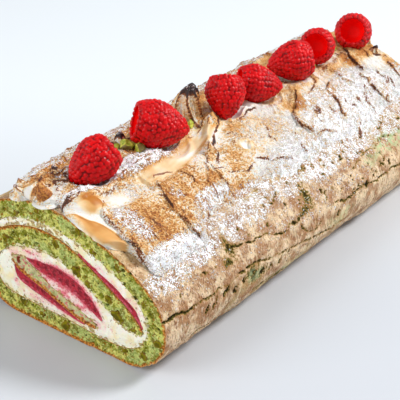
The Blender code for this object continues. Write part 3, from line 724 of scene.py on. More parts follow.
# Sugar on the crust below the meringue: y, s, both radii, amount
CRUST_SUGAR = (
    (14, 56, 16, 6, 0.66), (36, 54, 12, 6, 0.74), (56, 52, 12, 9, 0.62), (78, 50, 14, 9, 0.62),
    (104, 48, 18, 10, 0.64), (134, 50, 20, 10, 0.70), (165, 51, 20, 10, 0.66), (196, 52, 20, 10, 0.62),
    (228, 53, 22, 10, 0.58), (40, 62, 60, 8, 0.30), (120, 64, 60, 9, 0.36), (60, -58, 50, 12, 0.62),
    (160, -60, 60, 12, 0.62), (220, -58, 40, 14, 0.6),
)
# Nut pieces that show in the crumb at the cut: x, z and size
NUTS = (
    (34.0, 21.0, 3.7), (12.6, 35.0, 2.5), (-21.4, 8.0, 2.9), (4.4, 4.2, 2.4), (56.6, 17.6, 2.2),
    (22.6, 48.2, 1.4), (1.4, 44.8, 2.1), (38.2, 6.4, 1.3), (-8.6, 57.0, 1.2), (-10.2, 4.6, 1.4),
    (36.0, 45.6, 1.4), (-28.6, 13.0, 1.5), (-22, 51, 1.4), (48.8, 8.0, 1.9), (30.2, 28.4, 1.8),
    (-30, 36, 1.7), (50, 34, 1.3), (-38, 24, 2.0), (15.0, 55.4, 1.6), (18.8, 31.2, 1.5), (43.6, 18.4, 1.6),
)


def pinholes(count=120):
    """Small nicks scattered over the sugared part of the crust: place, length, slant and width."""
    rng = np.random.default_rng(47)
    low, high = (84, 44, 1.0, -1.3, 0.4), (246, 72, 3.4, 1.3, 0.9)
    return [tuple(rng.uniform(low, high)) for _ in range(count)]


def crack_field(p):
    """Millimetres outside the nearest crack's edge, less than 0 inside it."""
    bent = p + wobble(p, 0.55, 3.0, 5) + wobble(p, 0.5, 1.3, 7)
    found = np.full(len(p), 9.0)
    for width, places in CRACKS:
        near, share, _ = distance_to(bent, places)
        swell = 0.95 + 0.6 * noise(p * [1, 0], 6.0, 9)
        found = np.minimum(found, near - width / 2 * swell * near_ends(share, 0.06))
    for y, s, length, slant, width in NICKS + tuple(pinholes()):
        close = np.flatnonzero((np.abs(bent - (y, s)) < length / 2 + 4).all(1))
        way = np.array([math.cos(slant), math.sin(slant)]) * length / 2
        near, share, _ = distance_to(bent[close], [(y, s) - way, (y, s) + way])
        found[close] = np.minimum(found[close], near - 0.62 * width * (1 - np.square(2 * share - 1)))
    for y, s, along, across in TORN:
        reach = np.hypot((bent[:, 0] - y) / along, (bent[:, 1] - s) / across)
        found = np.minimum(found, (reach - 1 + 0.35 * noise(p, 1.7, 42)) * 0.30)
    return found


def crust_fields(y, s):
    """Relief of the bare crust, and the values that its colours go by."""
    p = np.stack([y, s], 1)
    crack = crack_field(p)
    near, own = cells(p * [1.1, 0.7], 2.8, 31)
    pit = ease((0.35 + own - near) / 0.4) * (own < 0.17)
    flake = cells(p * [0.6, 1.0] + 1.5 * rough(p, 7.0, 2, 39)[:, None], 9.0, 41)[1]
    out = 0.6 * rough(p, 14.0, 2, 11) + 0.32 * rough(p, 3.6, 2, 12) + 0.16 * noise(p, 1.4, 13)
    out += 0.35 * (flake - 0.5)
    out += 0.16 * noise(p * [1.0, 0.12], 1.7, 43)
    out += 2.0 * ease((y - 100) / 120) * ease((s - 58) / 16) * ease((ROLL_LENGTH + 4 - y) / 8)
    out -= 0.8 * pit
    out -= 1.5 * ease(-crack / 0.6 + 0.1)
    out += 0.3 * bell((crack - 0.8) / 1.0)
    sugar = patches(p, CRUST_SUGAR) - 0.5 * ease(-crack / 0.4 + 1)
    return out, {"crack": crack, "pit": pit, "sugar": sugar_amount(sugar), "thin": patches(p, THIN)}


CRUST_STEP = 0.75
FACE_STEP = 0.58


def crust_grid():
    """Places of the crust's grid: fine where it is bare, wide under the meringue and on the table."""
    left, right = CRUST_S[0], CRUST_S[-1]
    back, hidden = np.arange(left, -48, 1.1), np.arange(-48, 24, 4.5)
    bare, low = np.arange(24, 106, CRUST_STEP), np.arange(106, right, 3.0)
    s = np.concatenate([back, hidden, bare, low, [right]])
    y = np.linspace(0, ROLL_LENGTH, round(ROLL_LENGTH / CRUST_STEP) + 1)
    return np.meshgrid(y, s, indexing="ij")


def crumb_relief(p, face, side):
    """How deep the crumb's pores go at the cut, and how open each is, which also sets the painted shade in
    them.
    """
    bent = p + wobble(p, 0.5, 1.8, 52)
    near, own = cells(bent, 2.0, 51 + face)
    pore = ease((0.30 + 0.85 * own - near) / 0.4) * (own < 0.5)
    near, own = cells(bent * [0.8, 1.1], 4.6, 57 + face)
    pore = np.maximum(pore, ease((0.7 + own - near) / 0.5) * (own < 0.4))
    depth = 1.1 * pore + 0.5 * (1 + rough(p, 3.0, 3, 61 + face)) + 0.3 * noise(p, 0.9, 63)
    return np.maximum(depth, 0) * ease(side / 0.6), pore


def nut_field(p):
    """Millimetres outside the nearest piece of nut in the crumb."""
    found = np.full(len(p), 9.0)
    for i, (x, z, size) in enumerate(NUTS):
        turn = 2.4 * i
        off = p - (x, z)
        along = off @ (math.cos(turn), math.sin(turn))
        across = off @ (-math.sin(turn), math.cos(turn))
        reach = np.hypot(along / 1.15, across / 0.85) * (1 + 0.2 * noise(p, 2.2, 71 + i))
        found = np.minimum(found, reach - size)
    return found


def cut_face(loop, face, brown):
    """One cut face of a sponge piece: its points, triangles and fields. brown is the browned side's path."""
    flat, triangles = filled([loop], FACE_STEP, 80 + face)
    edge = distance_to(flat, closed(loop))[0]
    depth, pore = crumb_relief(flat, face, edge)
    nut = nut_field(flat * [1, 1] if face == 0 else flat * [-1, 1] + [4, 0])
    depth = depth * (1 - 0.6 * ease(-nut / 0.6)) - 0.35 * ease(-nut / 0.8) * ease(edge / 0.8)
    rim = distance_to(flat, brown)[0]
    smear = distance_to(flat, resample(SPONGE_LEFT, 2.0))[0]
    fields = {"pore": pore, "nut": nut, "rim": rim, "smear": smear}
    return in_section(flat, from_face(face, depth)), outwards(face, triangles), fields


def from_face(face, depth):
    """The y at a depth behind the near face, 0, or the far one, 1."""
    return depth if face == 0 else ROLL_LENGTH - depth


def outwards(face, triangles):
    return triangles if face == 0 else triangles[:, ::-1]


def blank(count, **given):
    """The sponge's fields where nothing special shows."""
    made = dict.fromkeys(("crust", "pit", "thin", "pore", "pale"), 0.0)
    made |= dict.fromkeys(("crack", "nut", "rim", "smear"), 9.0)
    made |= {"sugar": -1.0} | given
    return {name: np.broadcast_to(value, count) for name, value in made.items()}


def joined(parts):
    """Several sets of points, faces and fields as one."""
    verts, faces, fields, start = [], [], [], 0
    for points, polygons, values in parts:
        verts.append(points)
        faces += [np.asarray(f) + start for f in polygons]
        fields.append(values)
        start += len(points)
    return np.vstack(verts), faces, {name: np.concatenate([f[name] for f in fields]) for name in fields[0]}


def crust_sheet():
    """The whole bare side of the strip: points, the grid's shape and fields."""
    grid_y, grid_s = crust_grid()
    y, s = grid_y.ravel(), grid_s.ravel()
    out, fields = crust_fields(y, s)
    out *= ease((on_crust(y, s)[:, 2] - 0.2) / 3.0)
    out *= 1 - 0.7 * ((s < 20) & (s > -40))
    torn = 0.45 * rough(in_a_row(s), 2.0, 3, 45)
    way = np.where(y < ROLL_LENGTH / 2, 1, -1)
    along = y + way * (torn + 0.4) * ease(1 - np.minimum(y, ROLL_LENGTH - y) / 3)
    return on_crust(along, s, out), grid_y.shape, fields


def make_sponge(paint):
    points, shape, fields = crust_sheet()
    parts = [(points, [grid_faces(*shape)], blank(len(points), crust=1.0, rim=0.0, **fields))]
    inner = np.vstack([SPONGE_LEFT[::-1], SPONGE_RIGHT[: OUTER_START * PER_SPAN]])
    fine = resample(inner, FACE_STEP * 1.2)[::-1]
    brown = resample(SPONGE_RIGHT, 2.0)
    for face in (0, 1):
        row = points.reshape(*shape, 3)[-face]
        edge = np.stack([row[:, 0] - bend(row[:, 1]), row[:, 2]], 1)
        made, triangles, values = cut_face(np.vstack([edge, fine[1:-1]]), face, brown)
        made[: len(row), :2] = row[:, :2]
        values["crust"] = np.where(np.arange(len(made)) < len(row), 0.6, 0.0)
        parts.append((made, [triangles], blank(len(made), **values)))
    hidden, shape = carried(resample(inner, 2.0), (0, ROLL_LENGTH), 26)
    parts.append((hidden, [grid_faces(*shape)], blank(len(hidden), rim=1.0)))
    piece("sponge_crumb", *joined(parts), paint, "sponge", ["sponge"])


def strip_loop(line, grow=0.0):
    left, right = sides(line, grow)
    return np.vstack([left, right[::-1]])


def wall_of(loop, inset):
    """The side wall of a section carried along the roll, that far short of both ends."""
    wall, shape = carried(loop, (inset, ROLL_LENGTH - inset), 20)
    return wall, grid_faces(*shape, ring=True)[:, ::-1]


def make_core(paint):
    loop = even_loop(strip_loop(CORE_LINE), FACE_STEP)
    wall, quads = wall_of(loop, 0.0)
    parts = [(wall, [quads], blank(len(wall), rim=1.0))]
    for face in (0, 1):
        made, triangles, values = cut_face(loop, face, sides(CORE_LINE)[1])
        x, z = made[:, 0], made[:, 2]
        values["pale"] = 1.0 + 1.2 * bell(np.hypot(x + 22.4, (z - 27.2) / 1.6) / 1.7)
        parts.append((made, [triangles], blank(len(made), **values)))
    piece("sponge_fold", *joined(parts), paint, "sponge", ["sponge_core"])


def lying_loop(side, spec, grow=0.0):
    """The outline of jelly lying on a side of the sponge, thickest at its fullest share."""
    base = side[(side[:, 0] >= spec["from_x"]) & (side[:, 0] <= spec["to_x"])]
    base = base[np.argsort(base[:, 0])]
    share = np.linspace(0, 1, len(base))
    full = spec["fullest"]
    rise = np.where(share < full, share / full, (1 - share) / (1 - full))
    thick = 0.6 + (spec["thickness"] - 0.6) * np.sin(rise * math.pi / 2) ** 1.2
    out = normals_of(base) * spec["way"]
    bottom, top = base + out * (GAP - grow), base + out * (GAP + thick + grow)[:, None]
    for line in (bottom, top):
        for end, inner in ((0, 1), (-1, -2)):
            line[end] += (line[end] - line[inner]) / np.hypot(*(line[end] - line[inner])) * grow
    return np.vstack([bottom, top[::-1]])


def jelly_loops(grow=0.0):
    inner_turn = SPONGE_RIGHT[: 6 * PER_SPAN]
    return {
        "outer": lying_loop(inner_turn, OUTER_JELLY, grow),
        "middle": strip_loop(MIDDLE_JELLY_LINE, grow),
        "inner": lying_loop(sides(CORE_LINE)[1], INNER_JELLY, grow),
    }


def make_jelly():
    paint = jelly_paint()
    for name, outline in jelly_loops().items():
        loop = even_loop(outline, 0.6)
        wall, quads = wall_of(loop, 0.15)
        parts = [(wall, [quads], {"shore": np.zeros(len(wall))})]
        for face in (0, 1):
            flat, triangles = filled([loop], 0.6, 5)
            edge = distance_to(flat, closed(loop))[0]
            dip = 0.15 + 0.45 * ease(edge / 1.2) * (1 + 0.7 * rough(flat, 2.2, 2, 91 + face)) + 0.2
            made = in_section(flat, from_face(face, dip))
            parts.append((made, [outwards(face, triangles)], {"shore": edge}))
        piece(f"jam_{name}", *joined(parts), paint, "jelly", [f"jelly_{name}"])


# Where the jelly has stained the cream: x, z, both radii, and a number that is less where the stain is deeper
STAINS = (
    (-14.0, 34.6, 8.0, 3.0, 1.3), (-24.5, 31.6, 5.0, 3.4, 1.3), (-7.0, 24.0, 7.0, 2.8, 0.2),
    (4.0, 20.9, 7.5, 2.6, 0.3), (14.0, 18.0, 7.5, 2.4, 0.5), (24.0, 13.6, 6.0, 3.0, 1.5),
    (31.0, 14.0, 4.5, 2.6, 2.9), (24.0, 41.0, 6.5, 2.6, 1.7), (33.0, 36.6, 6.5, 2.6, 1.4),
    (41.0, 31.8, 6.5, 2.6, 1.3), (47.0, 27.6, 4.0, 2.4, 1.7), (-24.5, 16.6, 3.6, 3.0, 1.6),
    (-14.0, 12.2, 9.0, 2.2, 1.5), (-2.0, 9.2, 8.0, 1.8, 1.9), (4.0, 33.6, 9.0, 1.6, 1.4),
    (17.0, 27.4, 6.0, 1.6, 1.6),
)


def cream_stain(flat, jellies):
    """Millimetres outside the jelly and its stains."""
    x, z = flat.T
    near = np.min([distance_to(flat, closed(loop))[0] for loop in jellies], 0)
    reach = near + 3.4 * ease(np.hypot(x - 5, (z - 24) * 1.6) / 30 - 0.2)
    for stain_x, stain_z, wide, high, least in STAINS:
        reach = np.minimum(reach, least + 2.6 * np.hypot((x - stain_x) / wide, (z - stain_z) / high))
    return reach


def make_cream():
    left, right = sides(SPONGE_LINE, 0.08)
    last = int(OVERLAP_END * PER_SPAN)
    outline = even_loop(np.vstack([left[:-PER_SPAN], right[:last][::-1]]), 0.7)
    jellies = [even_loop(loop, 0.7) for loop in jelly_loops(0.05).values()]
    core = even_loop(strip_loop(CORE_LINE, 0.05), 0.7)
    wall, quads = wall_of(outline, 0.3)
    parts = [(wall, [quads], dict.fromkeys(("stain", "shore"), np.full(len(wall), 9.0)))]
    for face in (0, 1):
        flat, triangles = filled([outline, core, *jellies], 0.72, 9)
        edge = distance_to(flat, closed(outline))[0]
        swell = 0.35 * rough(flat, 5.0, 2, 95 + face) + 0.2 * rough(flat, 1.6, 2, 96 + face)
        depth = 0.55 + swell * ease(edge / 1.0) - 0.25 * ease(edge / 2.5)
        ragged = 1 - 0.75 * bell((flat[:, 0] + 4) / 16) * ease((flat[:, 1] - 44) / 3)
        shore = np.minimum(edge, distance_to(flat, closed(core))[0]) * ragged
        fields = {"stain": cream_stain(flat, jellies), "shore": shore}
        parts.append((in_section(flat, from_face(face, depth)), [outwards(face, triangles)], fields))
    piece("cream_filling", *joined(parts), cream_paint(), "cream", ["cream"])


# The meringue

RIGHT_EDGE = (
    (-1.5, 33), (1, 38), (3, 44), (4, 49), (5, 52), (9, 54.5), (20, 54), (36, 53), (42, 53.5), (48, 50),
    (56, 46), (70, 47), (80, 46), (92, 48), (104, 49), (118, 51), (130, 50), (143, 50),
    (158, 51), (172, 52), (188, 53), (200, 51), (210, 48), (222, 50), (236, 48), (249, 44),
)
LEFT_EDGE = (
    (-1.5, -28), (6, -33), (16, -38), (30, -44), (48, -50), (64, -46), (82, -52), (100, -46),
    (120, -52), (140, -47), (160, -53), (182, -48), (204, -54), (226, -47), (249, -44),
)
MERINGUE_START = -1.0
MERINGUE_END = 249.0
MERINGUE_GAP = 0.55
MERINGUE_THICKNESS = 3.4
# The meringue's grid: rows along y, columns behind the crest and in front of it, and the s that parts them
FINE_TO = 112
SHEET_Y = np.concatenate([
    np.arange(MERINGUE_START, FINE_TO, 0.46), np.arange(FINE_TO, MERINGUE_END - 0.4, 0.72), [MERINGUE_END],
])
BACK_COLUMNS = 36
FRONT_COLUMNS = 142
PART_S = -12.0
# Lips of the spatula strokes, the spread meringue on the right of each: height, tail behind it, how dark its
# edge is, and places (y, s) along it
LIPS = (
    (2.0, 26, 0.9, ((15, 14.5), (11, 19.5), (10.5, 26), (9, 32), (8.8, 37.5), (8.6, 43), (7.6, 47.5))),
    (2.0, 8, 0.5, ((0, 7.5), (10.5, 9.5), (20, 11), (28.5, 11.5), (38, 8.5), (47, 8), (55.5, 7), (68.5, 6),
                   (79.5, 5), (90, 2))),
    (1.7, 26, 1.0, ((49, 16), (44.5, 21.5), (42, 27.5), (40, 34.5), (39.5, 40.5), (39.5, 47), (40, 52))),
    (1.6, 16, 0.7, ((84, 16), (80, 19.5), (77, 23.5), (75.5, 28), (74.5, 33), (73.5, 38), (73, 44))),
    (1.3, 8, 1.1, ((75, 28), (76.5, 29), (80, 29), (81, 33), (86, 34), (89.5, 36.5), (93.5, 36),
                   (98.5, 34.5))),
    (1.3, 8, 1.1, ((99, 33), (104.5, 36.5), (106.5, 39), (111.5, 40), (117, 42), (120, 43))),
    (2.4, 26, 1.0, ((168, 10), (157.5, 17), (150.5, 22), (147.5, 23), (145, 25.5), (142.5, 30),
                    (141.5, 32.5), (144, 35.5), (143, 40.5))),
    (1.1, 6, 0.7, ((143, 41), (144.5, 40), (149, 39.5), (154, 41), (160, 44))),
    (1.4, 9, 0.8, ((190, 17), (187, 19), (180.5, 22.5), (178.5, 29), (176, 34), (174, 36), (171.5, 41.5))),
    (1.0, 7, 0.7, ((174, 22.5), (172.5, 26.5), (169.5, 32.5), (168.5, 35.5))),
    (2.2, 14, 1.3, ((227, 5), (225, 7.5), (221.5, 13), (218, 19), (216, 23.5))),
    (1.9, 12, 1.0, ((214, 22), (210.5, 26), (212.5, 28.5), (210.5, 33.5), (209.5, 39), (211, 42),
                    (214.5, 47))),
    (1.0, 5, 0.9, ((183, 31.5), (182.5, 35), (186.5, 38.5))),
    (1.0, 5, 0.8, ((182, 8.5), (182, 12.5), (180.5, 14.5), (172.5, 17.5), (167, 18))),
    (1.4, 6, 0.9, ((237, 8), (235, 14.5), (233, 17.5))),
    (1.2, 6, 0.9, ((237.5, 17.5), (241, 20), (244.5, 23))),
    (1.4, 7, 1.0, ((241, 25), (239.5, 29), (237, 36), (236, 42))),
    (1.2, 8, 0.7, ((196, 10), (200, 16), (199, 22), (203, 28))),
    (1.0, 6, 0.6, ((76, 22.5), (70.5, 27.5), (66, 31), (60.5, 32.5))),
    (0.9, 6, 0.8, ((62, 17), (60, 21), (62, 25), (59, 29))),
    (0.8, 4, 0.9, ((40.5, 24), (42, 25.5), (45, 25), (46, 23))),
    (0.9, 5, 0.8, ((48, 16), (50, 15), (54, 16), (58, 16.5), (61, 18))),
    (0.9, 6, 0.8, ((126, 18), (124, 23), (120, 27), (121, 32))),
    (1.0, 6, 0.7, ((160, 24), (158, 29), (155, 33), (156, 38))),
    (1.0, 7, 0.7, ((134, 30), (133, 35), (130, 40), (131, 45))),
    (1.0, 7, 0.8, ((200, 32), (198, 37), (195, 41), (197, 47))),
    (1.0, 7, 0.7, ((226, 26), (224, 31), (226, 36), (223, 42))),
    (1.6, 12, 0.8, ((60, -6), (55, -18), (58, -30), (52, -42))),
    (1.8, 14, 0.9, ((112, -6), (105, -18), (108, -30), (100, -44))),
    (1.6, 14, 0.8, ((160, -6), (152, -16), (155, -30), (150, -44))),
    (1.6, 14, 0.8, ((205, -6), (197, -18), (200, -32), (196, -46))),
    (1.4, 14, 0.8, ((22, -8), (14, -18), (17, -30))),
    (1.5, 12, 0.7, ((244, -6), (238, -18), (241, -32))),
)
# Ridges: height, half width, how dark, and places along each
RIDGES = (
    (1.0, 0.6, 0.85, ((12, 8), (22, 9.5), (32, 8), (46, 6.5), (60, 5), (74, 3.5))),
    (0.9, 0.6, 0.8, ((18, 5), (28, 6), (40, 5), (54, 4.5), (68, 4), (78.5, 2))),
    (0.8, 0.5, 0.8, ((8, 1), (14, 5.5), (24, 3.5), (36, 3))),
    (0.8, 0.5, 0.7, ((33, 11), (45, 5), (58, 3), (72, 1.5))),
    (1.0, 0.6, 0.8, ((28.5, 11.5), (34, 13), (37.5, 14))),
    (1.0, 0.9, 2.2, ((2.0, 1.6), (1.0, 3.4), (1.4, 5.2), (4.4, 6.4), (8.5, 6.6), (11, 5.6))),
    (0.7, 0.45, 1.1, ((10.5, 5.8), (12.4, 4.2), (11.4, 2.2), (8.2, 0.6), (4.6, 0.6), (1.8, 1.8))),
    (1.4, 0.5, 1.5, ((13.4, 17.6), (14.8, 15.8), (16.4, 13.4))),
    (4.6, 2.2, 0.10, ((112, -3), (109, 0.5), (104.5, 4), (99, 6.6), (93.5, 9.6), (88.5, 13), (84, 16),
                      (80, 19))),
    (0.4, 0.8, 2.2, ((110, 3.4), (105.5, 7.2), (100.2, 9.4), (95, 12.4), (91, 15.0), (87, 17.4))),
    (1.4, 0.9, 1.3, ((87, 18), (84, 22.5), (81.5, 25), (79.5, 28))),
    (2.6, 1.1, 0.3, ((110, 9), (118, 9.6), (126, 8.4), (133, 8))),
    (0.5, 0.6, 1.5, ((111, 10.8), (119, 11.2), (127.5, 10), (133.5, 9.6))),
    (1.0, 0.6, 0.9, ((118, 10.5), (116, 13), (114, 15))),
    (0.8, 0.6, 0.8, ((101, 15.5), (103, 15.2), (105.5, 15), (103, 18), (99, 21.5), (97.5, 21.5))),
    (0.9, 0.6, 1.0, ((106, 21), (109, 21.5), (109.5, 23.5), (107.5, 27), (104, 29))),
    (1.6, 1.3, 0.4, ((165, 8.5), (159, 13.5), (148, 20))),
    (1.6, 1.3, 0.6, ((172, 8), (160, 15), (152, 20))),
    (0.8, 0.6, 0.9, ((84, 5.5), (90, 5.5), (97, 4))),
    (1.8, 1.4, 0.8, ((186, 8), (184, 12), (186, 15))),
    (1.8, 1.6, 0.4, ((192, 12), (206, 11), (222, 9), (240, 8))),
    (2.4, 2.6, 0.45, ((-1, -12), (16, -14), (40, -12), (66, -14), (90, -12))),
    (2.4, 2.8, 0.45, ((90, -12), (120, -15), (150, -13), (190, -15), (220, -13), (249, -12))),
    (1.8, 1.8, 0.5, ((4, -20), (30, -24), (60, -22), (90, -26), (130, -23), (170, -26), (210, -23),
                     (246, -25))),
)
# Smooth hollows left by the spatula: depth, half width, how toasted, and places along each
VALLEYS = (
    (1.5, 4.4, 0.06, ((14, 16.5), (25, 15.8), (34, 16), (44, 15.5))),
    (1.8, 4.6, 0.30, ((40, 15.5), (50, 15), (64, 13), (77, 11.5), (87.5, 9), (97, 4), (103, 0))),
    (0.8, 2.2, 0.0, ((-1, 5), (1.5, 12), (4.5, 16.5), (8, 20), (8.5, 28), (8, 35))),
    (1.8, 2.6, 0.0, ((102.5, 23), (106, 26))),
    (1.0, 3.4, 0.0, ((112, 6.5), (122, 6), (132, 5))),
)
# Broad humps: y, s, radii, height
HUMPS = (
    (1.4, -6.2, 3.4, 3.8, 4.8), (10.6, 12.6, 5.6, 4.4, 2.6), (6.4, 3.4, 4.2, 2.0, 1.4), (97, -8, 8, 6, 3.5),
    (24, 1, 7, 5, 1.5), (50, 0, 5, 5, 1.8),
)
# Toasted gold, and the white that stays between, one spot of which is a painted sheen: y, s, radii, amount
TOASTED = (
    (1.2, -6.4, 3.4, 3.6, 1.25), (11.0, 12.8, 5.0, 4.2, 0.95), (26, 34, 16, 14, 0.66),
    (57, 30, 14, 14, 0.60), (36, 16, 14, 3.2, 0.5), (66, 30, 8, 5, 0.75), (84, 22, 6, 6, 0.62),
    (94, 26, 13, 8, 0.46), (118, 22, 22, 11, 0.34), (152, 18, 8, 6, 0.70), (158, 11, 13, 4, 0.60),
    (186, 20, 22, 8, 0.28), (203, 11, 14, 5, 0.40), (218, 13, 4, 5, 0.75), (238, 12, 10, 6, 0.70),
    (243, 30, 6, 9, 0.60), (180, 12, 7, 4, 0.60), (30, -16, 30, 8, 0.8), (90, -15, 30, 10, 0.9),
    (150, -18, 40, 10, 0.8), (215, -18, 36, 10, 0.8), (60, -36, 40, 10, 0.6), (160, -36, 60, 12, 0.6),
    (235, 0, 14, 8, 0.7), (26, 2, 16, 5, 0.66), (60, 0, 12, 5, 0.7), (100, 2, 10, 6, 0.66),
    (46, 7, 34, 3.4, 0.62), (70, 43, 26, 5, 0.45), (130, 4, 60, 4, 0.35),
)
# The spot at y 127, s 6.5 is painted white as a sheen beside the ridge there.
WHITE = (
    (22, 15.0, 4, 2.2, 0.6), (4, 45, 3.2, 5, 1.0), (127, 6.5, 14, 2.6, 0.9), (104, 24.5, 2.6, 2.4, 1.0),
    (85, 24, 2.0, 2.0, 0.8), (-2.8, -5, 0.8, 6, 0.8), (0.6, -14, 4.0, 3.4, 0.8), (178, 11, 2.6, 2.0, 0.9),
    (230, 26, 5, 4, 0.6),
)
# Where the meringue is smooth and glossy: y, s, radii, amount
SILKY = (
    (2, 29, 5, 16, 1.0), (23, 15.5, 6, 3.0, 0.8), (60, 13.5, 20, 4.0, 1.0), (86, 10, 12, 4.5, 1.0),
    (0, -13, 3.4, 4, 0.7), (10, 13, 7, 5.4, 0.9), (98, 6, 8, 5, 0.9), (104, 24.5, 4, 3.4, 0.9),
    (122, 6, 14, 3, 0.8),
)
# Sugar on the meringue: y, s, radii, amount
MERINGUE_SUGAR = (
    (17, 30, 6, 12, 0.62), (22, 49, 20, 5, 0.84), (38, 50, 10, 6, 0.66), (62, 38, 12, 5, 0.72),
    (47, 28, 3.5, 4, 0.50), (85, 46, 24, 6, 0.60), (56, 46, 14, 8, 0.60), (42, 4.5, 38, 4.5, 0.92),
    (10, 5, 5, 3, 0.7), (24, -8, 10, 8, 0.6), (118, 20, 20, 8, 0.40), (124, 40, 24, 8, 0.66),
    (158, 35, 16, 11, 0.74), (188, 35, 20, 13, 0.74), (216, 34, 14, 12, 0.70), (236, 38, 14, 11, 0.60),
    (172, 24, 18, 7, 0.64), (132, 26, 14, 8, 0.52), (202, 23, 18, 8, 0.66), (34, 15, 12, 3, 0.52),
    (150, 47, 60, 7, 0.76), (215, 47, 36, 7, 0.70), (7, 3.4, 3.4, 1.6, 0.9), (50, -34, 50, 14, 0.6),
    (140, -34, 60, 14, 0.6), (220, -34, 40, 14, 0.6),
)
# Where the meringue ends at the cut, and where the gold band of its lip ends: s and y
FRONT_EDGE = (
    (-50, 3.0), (-20, 3.0), (-14, -0.5), (-8, -2.2), (-1, -1.8), (1.5, 2.4), (4, 2.0), (8, 0.0), (12, -1.2),
    (19, -2.0), (27, -1.8), (30, -1.0), (33, 1.6), (36.5, 4.4), (40, 5.6), (44, 5.8), (46.5, 5.0),
    (49, 3.5), (54, 3.5),
)
FRONT_BAND = (
    (6, -3.0), (9, 0.2), (11, 1.2), (14, 2.8), (18, 4.4), (24.5, 7.4), (30, 7.8), (36, 7.4), (39, 6.4),
    (44, 2.0),
)
WARPED = 20.0


def near_path(p, places, reach):
    """The points within reach of a curve: which they are, distance, share of the way along and side."""
    path = smooth(places, 5)
    close = np.flatnonzero(((p > path.min(0) - reach) & (p < path.max(0) + reach)).all(1))
    return close, *distance_to(p[close], path)


def wrinkles(p):
    """Fine folds that run with the strokes, steeper towards the far end, from 0 to 1 on each."""
    lean = 0.22 + 0.55 * ease((p[:, 0] - 60) / 100)
    q = np.stack([p[:, 0] + lean * (p[:, 1] - 25), 0.24 * p[:, 1]], 1)
    fold = np.maximum(0, 1 - 3.4 * np.abs(noise(q, 5.0, 115) + 0.25 * noise(q, 2.0, 117)))
    return fold * ease(0.40 + 0.35 * ease((p[:, 0] - 90) / 50) + 1.4 * noise(p, 13.0, 116))


def top_lines(p, crest):
    """Fine lines that run along the top of the roll, from 0 to 1 on each."""
    y, s = p.T
    fine = noise(np.stack([0.16 * y, s + 0.05 * y], 1), 2.6, 126)
    return np.maximum(0, 1 - 3.0 * np.abs(fine)) * crest * ease(0.7 + 1.2 * noise(p, 7.0, 127))


def stroke_lips(p, bent, uneven):
    """How high the lips stand, how burnt their edges are, and how far they lean out."""
    gaps = ease(0.85 + 1.1 * noise(p, 3.2, 114))
    plates, burn, lean = np.zeros((3, len(p)))
    for tall, tail, dark, places in LIPS:
        close, near, share, side = near_path(bent, places, tail)
        past = near * side
        strength = near_ends(share, 0.10) * (share > 0.001) * (share < 0.999) * (0.78 + 0.22 * uneven[close])
        rise = tall * ease((past + 0.3) / 0.6) * np.maximum(0, 1 - past / tail) * strength
        plates[close] = np.maximum(plates[close], rise)
        wide = 0.42 + 0.14 * ease((p[close, 0] - 90) / 50)
        line = (0.3 + 0.7 * gaps[close]) * bell((past - 0.1) / wide)
        burn[close] = np.maximum(burn[close], 1.4 * dark * strength * line)
        lean[close] = np.maximum(lean[close], strength * bell((past - 0.5) / 1.2) * min(tall, 2.5))
    return plates, burn, lean


def raise_ridges(p, bent, uneven, height, burn):
    for tall, wide, dark, places in RIDGES:
        close, near, share, _ = near_path(bent, places, 3 * wide)
        strength = near_ends(share, 0.1) * (0.75 + 0.4 * uneven[close])
        height[close] += tall * strength * np.exp(-(near / wide) ** 1.5)
        edge = dark * strength * bell(near / (wide * 0.5 + 0.2)) * (0.8 + 0.5 * noise(p[close], 4.0, 110))
        burn[close] = np.maximum(burn[close], edge)


def press_valleys(p, height):
    """Presses the smooth hollows into height. Gives how far inside one each place is, and its toast there."""
    valley, tone = np.zeros((2, len(p)))
    for deep, wide, amount, places in VALLEYS:
        close, near, share, _ = near_path(p, places, 2 * wide)
        inner = ease(1.5 - near / wide) * near_ends(share, 0.06)
        height[close] -= deep * inner
        streak = 0.2 * noise(np.stack([share * 9, near], 1), 1.1, 119) + 0.14 * noise(p[close], 7.0, 120)
        toast = amount + 0.30 * np.square(near / wide) + streak
        tone[close] = np.where(inner > valley[close], toast, tone[close])
        valley[close] = np.maximum(valley[close], inner)
    return valley, tone


def lip_gold(p):
    """The toast on the lip over the cut: a gold band, darker at its far side, and the hump above it."""
    y, s = p.T
    reach = (looked_up(s, FRONT_BAND) - y + 0.4 * noise(p, 6.0, 113)) / 1.2
    from_edge = y - looked_up(s, FRONT_EDGE)
    gold = (0.44 + 0.34 * ease(from_edge / 4.5) + 0.2 * noise(p * [1.0, 0.3], 2.4, 125)) * ease(reach)
    gold = (gold + 0.35 * bell((reach - 0.5) / 0.6) * ease(reach)) * ease((from_edge + 0.2) / 0.8)
    on_hump = ease(2.8 - 2.4 * np.hypot((y - 10.6) / 6.0, (s - 12.4) / 5.6))
    return np.maximum(gold, on_hump * (0.62 + 0.05 * (y - 10.6) + 0.05 * (s - 12.4)))


